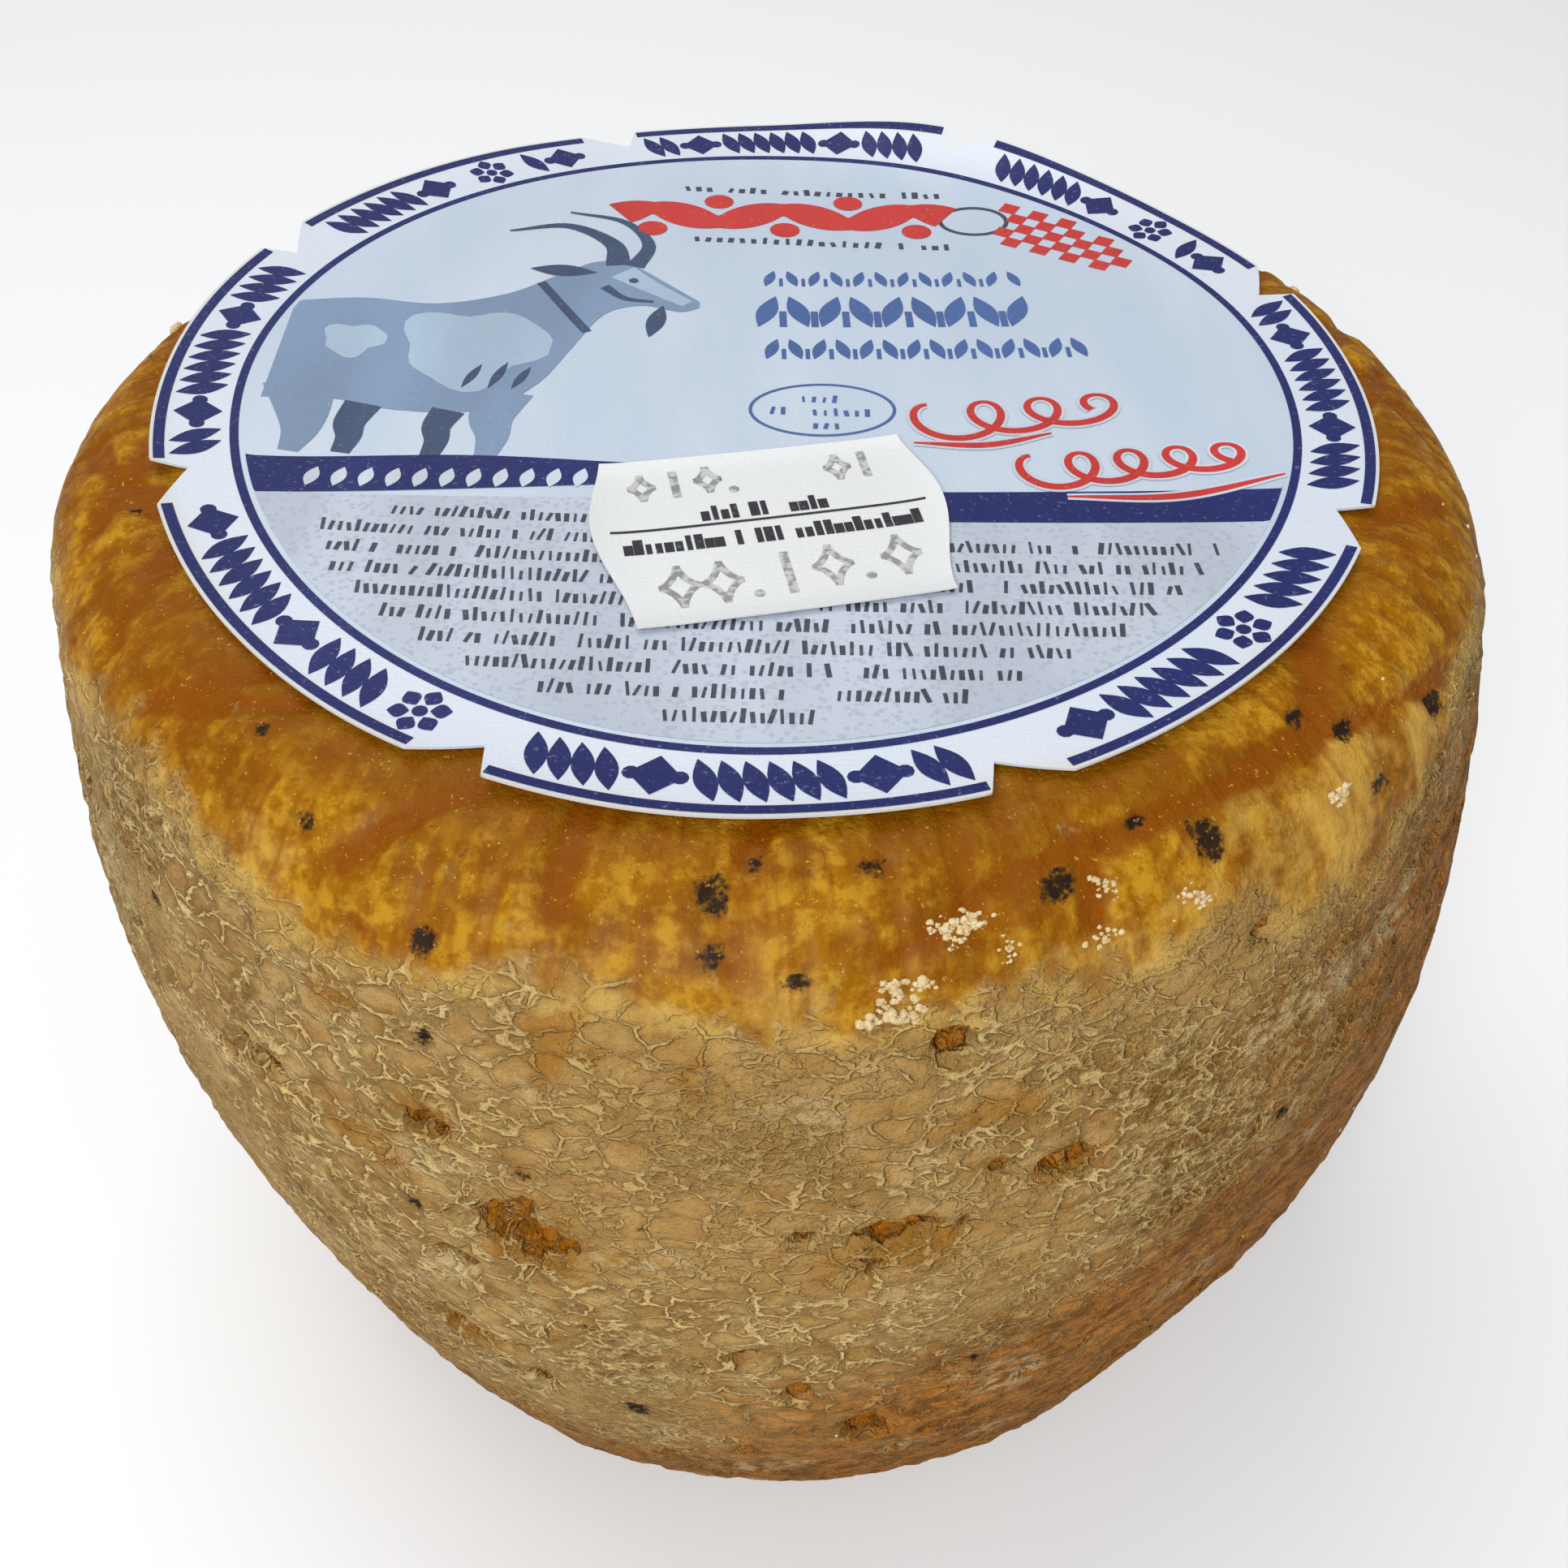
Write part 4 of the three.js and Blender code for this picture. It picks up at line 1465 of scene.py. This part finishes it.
# ---------------------------------------------------------------- finishes


class Ink(Enum):
    """The inks on the label and the sticker, each with its display colour."""

    NAVY = (20, 30, 96)
    HALFTONE = (188, 195, 208)
    SLATE = (126, 148, 176)
    PALE = (166, 188, 206)
    DEEP = (62, 78, 108)
    RED = (196, 50, 44)
    BLUE = (70, 98, 154)
    GREY = (62, 66, 78)
    WHITE = (198, 206, 217)
    BLACK = (38, 38, 44)
    STAMP = (140, 140, 142)


class SharedEffects:
    """Node groups that several finishes use."""

    def __init__(self) -> None:
        """Builds every group."""
        self.grain = self.curd_grain()
        self.fibre = self.paper_fibre()

    @staticmethod
    def curd_grain() -> Effect:
        """Dry curd: crumbs of two sizes as a height, and a tone that follows them."""
        effect = Effect("curd_grain", {"Fineness": 1.0}, ("Height", "Tone"))
        desk = effect.desk
        place = desk.add("VectorMath", operation="SCALE")
        desk.feed(place.inputs[0], desk.object_place((1, 1, 1.3)))
        desk.feed(place.inputs["Scale"], effect.given["Fineness"])
        coarse = desk.noise(place.outputs[0], 0.9 * MM, 3, 0.6)
        fine = desk.noise(place.outputs[0], 0.28 * MM, 2)
        height = desk.plus(desk.times(coarse, 0.65), desk.times(fine, 0.35))
        desk.feed(effect.result["Height"], height)
        desk.feed(effect.result["Tone"], desk.step(height, 0.38, 0.64))
        return effect

    @staticmethod
    def paper_fibre() -> Effect:
        """Paper: short matted fibres as a height, faint cloudiness, and rubbed specks."""
        effect = Effect("paper_fibre", {"Rubbing": 0.5}, ("Height", "Cloud", "Rubbed"))
        desk = effect.desk
        along, across = desk.object_place((1, 0.25, 1)), desk.object_place((0.25, 1, 1))
        fibre = desk.plus(desk.noise(along, 0.22 * MM, 2), desk.noise(across, 0.22 * MM, 2))
        desk.feed(effect.result["Height"], desk.times(fibre, 0.5))
        desk.feed(effect.result["Cloud"], desk.noise(along, 9 * MM, 3))
        speck = desk.step(desk.noise(desk.object_place(), 0.35 * MM, 3, 0.65), 0.60, 0.72)
        desk.feed(effect.result["Rubbed"], desk.times(speck, effect.given["Rubbing"]))
        return effect


@dataclass(frozen=True)
class RindFinish:
    """Natural rind: amber and oily on the shoulder, netted tan curd on the side."""

    effects: SharedEffects
    lens_dark: Colour = (154, 116, 62)
    lens_light: Colour = (181, 148, 93)
    ridge: Colour = (218, 188, 126)
    # painted shade: the dark colour laid in the grooves and grain hollows of the side
    recess_shade: Colour = (98, 62, 22)
    russet: Colour = (170, 106, 38)
    umber: Colour = (116, 70, 18)
    bloom: Colour = (208, 186, 140)
    amber_deep: Colour = (126, 74, 3)
    amber_mid: Colour = (152, 98, 4)
    gold: Colour = (190, 142, 34)
    streak: Colour = (130, 69, 2)
    stain: Colour = (150, 98, 18)
    pit: Colour = (156, 94, 16)
    mould: Colour = (26, 22, 18)
    seam: Colour = (194, 158, 84)
    honey: Colour = (204, 164, 78)
    sheer: Colour = (172, 134, 76)

    def side(self, desk: Desk, net: Socket, groove_shade: Socket, place: Socket, tone: Socket) -> Socket:
        """Colour of the side: tan lenses in a net of cream ridges, browner and crumbly in parts, with
        painted shade in the grooves beside the ridges and in the low hollows of the grain.
        """
        cloud = desk.noise(place, 5 * MM, 3)
        lens = desk.mix(desk.step(cloud, 0.36, 0.64), self.lens_dark, self.lens_light)
        crumbly = desk.mask("crumbly")
        # painted shade in the low hollows of the grain, stronger where the curd is crumbly
        hollows = desk.times(desk.step(tone, 0.55, 0.05), desk.eased(crumbly, 0.75))
        # painted shade in the grooves beside the ridges
        colour = desk.mix(desk.times(groove_shade, 0.4), lens, self.recess_shade)
        colour = desk.mix(desk.times(hollows, 0.7), colour, self.recess_shade)
        colour = desk.mix(desk.times(desk.mask("sheer"), 0.7), colour, self.sheer)
        smear = desk.step(desk.noise(desk.object_place((1, 1, 2.4)), 4.0 * MM, 4, 0.65), 0.38, 0.56)
        brown = desk.times(desk.mask("russet"), desk.eased(smear, 0.4))
        blotch = desk.step(desk.noise(desk.object_place((1, 1, 1.6)), 2.2 * MM, 4, 0.65), 0.62, 0.40)
        colour = desk.mix(brown, colour, desk.mix(blotch, self.russet, self.umber))
        calm = desk.times(desk.eased(desk.minus(1.0, desk.mask("russet")), 0.85),
                         desk.eased(desk.minus(1.0, desk.mask("sheer")), 0.75))
        crest = desk.times(desk.times(net, calm), desk.step(tone, 0.1, 0.7, (0.5, 0.85)))
        colour = desk.mix(crest, colour, self.ridge)
        pale = desk.times(desk.mask("bloom"), desk.step(desk.noise(place, 1.4 * MM, 3), 0.4, 0.6, (0, 0.5)))
        return desk.mix(pale, colour, self.bloom)

    def shoulder(self, desk: Desk, place: Socket, radial: Socket) -> Socket:
        """Colour of the oily shoulder: amber mottled with gold, with dark radial creases and streaks,
        painted shade in the wrinkle valleys and painted shade along the label's rim.
        """
        broad = desk.plus(desk.times(desk.noise(place, 5 * MM, 3, 0.55), 0.6),
                          desk.times(desk.noise(radial, 0.05, 3, 0.6), 0.4))
        colour = desk.mix(desk.step(broad, 0.42, 0.57), self.amber_deep, self.amber_mid)
        mottle = desk.step(desk.noise(place, 1.4 * MM, 5, 0.65), 0.43, 0.60, (0, 0.72))
        colour = desk.mix(desk.times(mottle, desk.step(broad, 0.42, 0.56, (0.25, 1))), colour, self.gold)
        curd = desk.ragged(desk.mask("cream"), place, 1.6 * MM, 0.7, 0.2, 0.9)
        colour = desk.mix(desk.times(curd, 0.6), colour, self.honey)
        # painted shade of the label's rim: the amber close to the label is darkened to the deepest amber
        soak_and_shade = desk.ragged(desk.mask("deep"), radial, 0.07, 0.6, 0.25, 1.0)
        colour = desk.mix(desk.times(soak_and_shade, 0.75), colour, self.amber_deep)
        lines = desk.step(desk.noise(radial, 0.026, 2, 0.6), 0.44, 0.34, (0, 0.4))
        colour = desk.mix(lines, colour, self.streak)
        # painted shade in the wrinkle valleys of the shoulder
        colour = desk.mix(desk.times(desk.mask("crease"), 0.6), colour, self.streak)
        dent = desk.ragged(desk.mask("streak"), place, 1.2 * MM, 0.45, 0.25, 0.95)
        flecked = desk.times(dent, desk.step(mottle, 0.0, 0.75, (1.0, 0.9)))
        return desk.mix(flecked, colour, self.streak)

    @staticmethod
    def radial(desk: Desk, even: Socket) -> Socket:
        """Coordinates that change fast round the axis and slowly along the way down the shoulder."""
        flat = desk.add("VectorMath", operation="MULTIPLY")
        desk.feed(flat.inputs[0], even)
        flat.inputs[1].default_value = (1, 1, 0)
        unit = desk.add("VectorMath", operation="NORMALIZE")
        desk.feed(unit.inputs[0], flat.outputs[0])
        outward = desk.add("VectorMath", operation="MULTIPLY_ADD")
        desk.feed(outward.inputs[0], even)
        outward.inputs[1].default_value = (3, 3, 4)
        desk.feed(outward.inputs[2], unit.outputs[0])
        return outward.outputs[0]

    @staticmethod
    def net(desk: Desk, place: Socket) -> tuple[Socket, Socket]:
        """Cream ridges between the curd lenses, and the grooves beside them, where shade is painted.

        The ridges are two sizes of bent cell borders, broken in places.
        """
        bent = desk.warped(desk.warped(place, 3.0 * MM, 2.4 * MM), 0.7 * MM, 0.5 * MM)
        edge = desk.cells(bent, 2.9 * MM, "DISTANCE_TO_EDGE", "Distance")
        wide = desk.step(edge, 0.085, 0.03)
        small = desk.step(desk.cells(bent, 1.3 * MM, "DISTANCE_TO_EDGE", "Distance"), 0.16, 0.05)
        some = desk.step(desk.noise(place, 4 * MM, 3), 0.46, 0.58, (0, 0.85))
        fine = desk.times(small, desk.math("MAXIMUM", desk.mask("crumbly"), some))
        whole = desk.step(desk.noise(place, 1.5 * MM, 4, 0.6), 0.36, 0.52)
        return desk.times(desk.math("MAXIMUM", wide, fine), whole), desk.step(edge, 0.26, 0.10)

    def material(self) -> Material:
        """Builds the material."""
        finish = Finish("natural_rind")
        desk = finish.desk
        place, even = desk.object_place((1, 1, 1.45)), desk.object_place()
        grain = desk.group(self.effects.grain, {"Fineness": 1.0}).outputs
        (net, groove_shade), radial = self.net(desk, place), self.radial(desk, even)
        amber = desk.ragged(desk.mask("amber"), even, 2.2 * MM, 0.75, 0.16, 0.84)
        side = self.side(desk, net, groove_shade, place, grain["Tone"])
        colour = desk.mix(amber, side, self.shoulder(desk, even, radial))
        seam = desk.ragged(desk.mask("seam"), even, 1.1 * MM, 0.9, 0.35, 0.95)
        seam = desk.times(seam, desk.step(desk.noise(even, 5 * MM, 2), 0.46, 0.62, (0.12, 0.75)))
        colour = desk.mix(seam, colour, self.seam)
        stain = desk.ragged(desk.mask("stain"), even, 1.3 * MM, 0.8, 0.35, 1.15)
        colour = desk.mix(desk.times(stain, 0.6), colour, self.stain)
        pit = desk.ragged(desk.mask("pit"), even, 0.9 * MM, 0.5, 0.35, 0.62)
        depth = desk.mix(desk.step(desk.noise(even, 1.2 * MM, 3, 0.6), 0.42, 0.56), self.umber, self.pit)
        colour = desk.mix(desk.times(pit, desk.step(grain["Tone"], 0.9, 0.2, (0.6, 1))), colour, depth)
        halo = desk.ragged(desk.mask("mould"), even, 0.9 * MM, 0.5, 0.1, 0.7)
        colour = desk.mix(desk.times(halo, 0.45), colour, self.umber)
        mould = desk.ragged(desk.mask("mould"), even, 0.45 * MM, 0.9, 0.40, 0.90)
        colour = desk.mix(desk.times(mould, 0.94), colour, self.mould)
        glint = desk.step(desk.noise(even, 0.3 * MM, 2), 0.66, 0.74, (0, 0.55))
        colour = desk.mix(glint, colour, (206, 166, 70))
        bare = desk.minus(1.0, amber)
        ridges = desk.times(net, bare)
        rough = desk.plus(desk.step(ridges, 0, 1, (0.42, 0.62)), desk.times(grain["Tone"], 0.10))
        height = desk.times(grain["Height"], desk.eased(desk.mask("crumbly"), 0.55))
        height = desk.times(height, desk.step(amber, 0, 1, (1, 0.45)))
        height = desk.plus(desk.times(height, 1.6), desk.times(ridges, 0.36))
        folds = desk.times(desk.noise(radial, 0.040, 2, 0.6), desk.times(amber, 0.35))
        height = desk.minus(desk.plus(height, folds), desk.times(pit, 0.5))
        finish.set(base_color=colour, roughness=rough, normal=desk.bump(height, 1.0 * MM))
        finish.set(coat_weight=desk.step(amber, 0, 1, (0, 0.13)), coat_roughness=0.42)
        finish.set(specular_ior_level=0.015)
        finish.set(subsurface_weight=0.03, subsurface_radius=(1.0, 0.5, 0.2), subsurface_scale=1.2 * MM)
        return finish.material


@dataclass(frozen=True)
class CrumbFinish:
    """Dried white crumbs, chalky and uneven."""

    effects: SharedEffects
    pale: Colour = (224, 206, 166)
    shaded: Colour = (206, 174, 116)

    def material(self) -> Material:
        """Builds the material."""
        finish = Finish("dried_crumbs")
        desk = finish.desk
        grain = desk.group(self.effects.grain, {"Fineness": 1.6}).outputs
        finish.set(base_color=desk.mix(grain["Tone"], self.shaded, self.pale),
                   roughness=desk.step(grain["Tone"], 0, 1, (0.5, 0.75)),
                   normal=desk.bump(grain["Height"], 0.3 * MM))
        return finish.material


@dataclass(frozen=True)
class PaperFinish:
    """Coated paper with a soft sheen."""

    effects: SharedEffects
    name: str
    ground: Colour
    border: Colour
    border_from: float
    oiled: float
    coat: float

    def material(self) -> Material:
        """Builds the material."""
        finish = Finish(self.name)
        desk = finish.desk
        fibre = desk.group(self.effects.fibre, {"Rubbing": 0.4}).outputs
        flat = desk.add("VectorMath", operation="LENGTH")
        desk.feed(flat.inputs[0], desk.object_place((1, 1, 0)))
        reach = flat.outputs["Value"]
        edge = desk.step(reach, self.border_from - 0.2 * MM, self.border_from + 0.2 * MM)
        colour = desk.mix(edge, self.ground, self.border)
        colour = desk.mix(desk.step(fibre["Cloud"], 0.35, 0.7, (0, 0.3)), colour, (216, 219, 224))
        ragged = desk.plus(reach, desk.times(fibre["Cloud"], 3 * MM))
        soak_and_shade = desk.step(ragged, 45.6 * MM, 47.6 * MM, (0, self.oiled))
        colour = desk.mix(soak_and_shade, colour, (206, 190, 150))
        finish.set(base_color=colour, roughness=desk.step(fibre["Cloud"], 0.3, 0.7, (0.36, 0.50)),
                   normal=desk.bump(fibre["Height"], 0.05 * MM), coat_weight=self.coat, coat_roughness=0.3)
        return finish.material


@dataclass(frozen=True)
class InkFinish:
    """Printed ink, rubbed off in tiny specks where the paper's fibres stand up."""

    SHADE = 0.93

    effects: SharedEffects
    ink: Ink

    def material(self) -> Material:
        """Builds the material."""
        finish = Finish("ink_" + self.ink.name.lower())
        desk = finish.desk
        fibre = desk.group(self.effects.fibre, {"Rubbing": 0.2}).outputs
        shade = tuple(int(channel * self.SHADE) for channel in self.ink.value)
        colour = desk.mix(desk.step(fibre["Cloud"], 0.35, 0.65), self.ink.value, shade)
        if self.ink is Ink.HALFTONE:
            dots = desk.cells(desk.object_place((1, 1, 0)), 0.55 * MM, "F1", "Distance")
            dots = desk.step(dots, 0.42, 0.30)
            colour = desk.mix(desk.times(dots, 0.6), colour, (160, 168, 184))
        if self.ink is Ink.STAMP:
            broken = desk.step(desk.noise(desk.object_place(), 0.6 * MM, 3), 0.42, 0.58)
            colour = desk.mix(broken, colour, (188, 188, 188))
        colour = desk.mix(fibre["Rubbed"], colour, (200, 207, 216))
        finish.set(base_color=colour, roughness=desk.step(fibre["Cloud"], 0.3, 0.7, (0.38, 0.52)),
                   normal=desk.bump(fibre["Height"], 0.05 * MM), specular_ior_level=0.3)
        return finish.material


# ---------------------------------------------------------------- studio


@dataclass(frozen=True)
class Studio:
    """Floor, soft lights and the camera."""

    camera_back: float = 105.6 * MM
    camera_height: float = 153.6 * MM
    pitch: float = 0.8046
    roll: float = -0.0269
    yaw: float = 0.003
    lens: float = 35.4
    sensor: float = 36.0
    floor_half: float = 4.0

    def camera(self) -> None:
        """Makes the camera: it stands in front of the wheel and looks down on it."""
        data = bpy.data.cameras.new("camera")
        data.sensor_width, data.lens, data.clip_start = self.sensor, self.lens, 5 * MM
        ahead = np.array([
            math.sin(self.yaw) * math.cos(self.pitch),
            math.cos(self.yaw) * math.cos(self.pitch),
            -math.sin(self.pitch),
        ])
        level = np.cross(ahead, [0, 0, 1])
        level = level / np.linalg.norm(level)
        upright = np.cross(level, ahead)
        right = math.cos(self.roll) * level + math.sin(self.roll) * upright
        up = -math.sin(self.roll) * level + math.cos(self.roll) * upright
        pose = np.eye(4)
        pose[:3, :3] = np.stack([right, up, -ahead], axis=-1)
        pose[:3, 3] = (0, -self.camera_back, self.camera_height)
        camera = bpy.data.objects.new("camera", data)
        camera.matrix_world = Matrix(pose.tolist())
        bpy.context.scene.collection.objects.link(camera)
        bpy.context.scene.camera = camera

    @staticmethod
    def lamp(name: str, place: tuple[float, float, float], size: float, power: float,
             colour: tuple[float, float, float]) -> None:
        """One square soft light that faces the middle of the wheel.

        Args:
            name: the light's name.
            place: where it hangs.
            size: its side.
            power: its power in watts.
            colour: its linear colour.
        """
        data = bpy.data.lights.new(name, "AREA")
        data.size, data.energy, data.color = size, power, colour
        lamp = bpy.data.objects.new(name, data)
        away = np.array(place) - np.array([0, 0, 0.05])
        away = away / np.linalg.norm(away)
        side = np.cross([0.0, 1.0, 0.0], away)
        side = side / np.linalg.norm(side)
        pose = np.eye(4)
        pose[:3, :3] = np.stack([side, np.cross(away, side), away], axis=-1)
        pose[:3, 3] = place
        lamp.matrix_world = Matrix(pose.tolist())
        bpy.context.scene.collection.objects.link(lamp)

    def floor(self) -> None:
        """A wide plain pale floor."""
        half = self.floor_half
        corners = np.array([[-half, -half, 0], [half, -half, 0], [half, half, 0], [-half, half, 0]])
        floor = make_piece("floor", Patch(corners, np.array([[0, 1, 2, 3]])))
        finish = Finish("pale_floor")
        finish.set(base_color=tint(246, 246, 246), roughness=0.9)
        floor.data.materials.append(finish.material)

    def build(self) -> None:
        """Makes the floor, the lights, the sky and the camera."""
        self.camera()
        self.floor()
        self.lamp("overhead", (-0.15, 0.30, 0.80), 0.6, 2.5, (1.0, 0.98, 0.95))
        self.lamp("front_key", (-0.22, -0.68, 0.66), 0.42, 6.4, (0.98, 0.99, 1.0))
        world = bpy.data.worlds.new("soft_room")
        world.use_nodes = True
        sky = world.node_tree.nodes["Background"]
        sky.inputs["Color"].default_value = (0.93, 0.96, 1.0, 1)
        sky.inputs["Strength"].default_value = 0.43
        bpy.context.scene.world = world
        bpy.context.scene.view_settings.view_transform = "Standard"


def main() -> None:
    """Builds the studio, then every piece, and reports each."""
    logging.basicConfig(level=logging.INFO, format="%(name)s: %(message)s")
    Studio().build()
    effects = SharedEffects()
    inks = {ink: InkFinish(effects, ink).material() for ink in Ink}
    _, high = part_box("cheese_wheel")
    wheel = WheelForm(radius=high[0], height=high[2])
    Rind(RindSurface(wheel)).build(RindFinish(effects).material(), CrumbFinish(effects).material())
    label = LabelForm(wheel, radius=wheel.side_radius(wheel.height) - wheel.top_edge - LABEL_MARGIN)
    coated = PaperFinish(effects, "label_stock", (184, 197, 213), (206, 213, 224), 40 * MM, 0.35, 0.25)
    PaperLabel(label).build(coated.material(), inks)
    plain = PaperFinish(effects, "sticker_stock", (218, 219, 218), (218, 219, 218), 40 * MM, 0.0, 0.1)
    LotSticker(StickerForm(label)).build(plain.material(), inks)


if __name__ == "__main__":
    main()
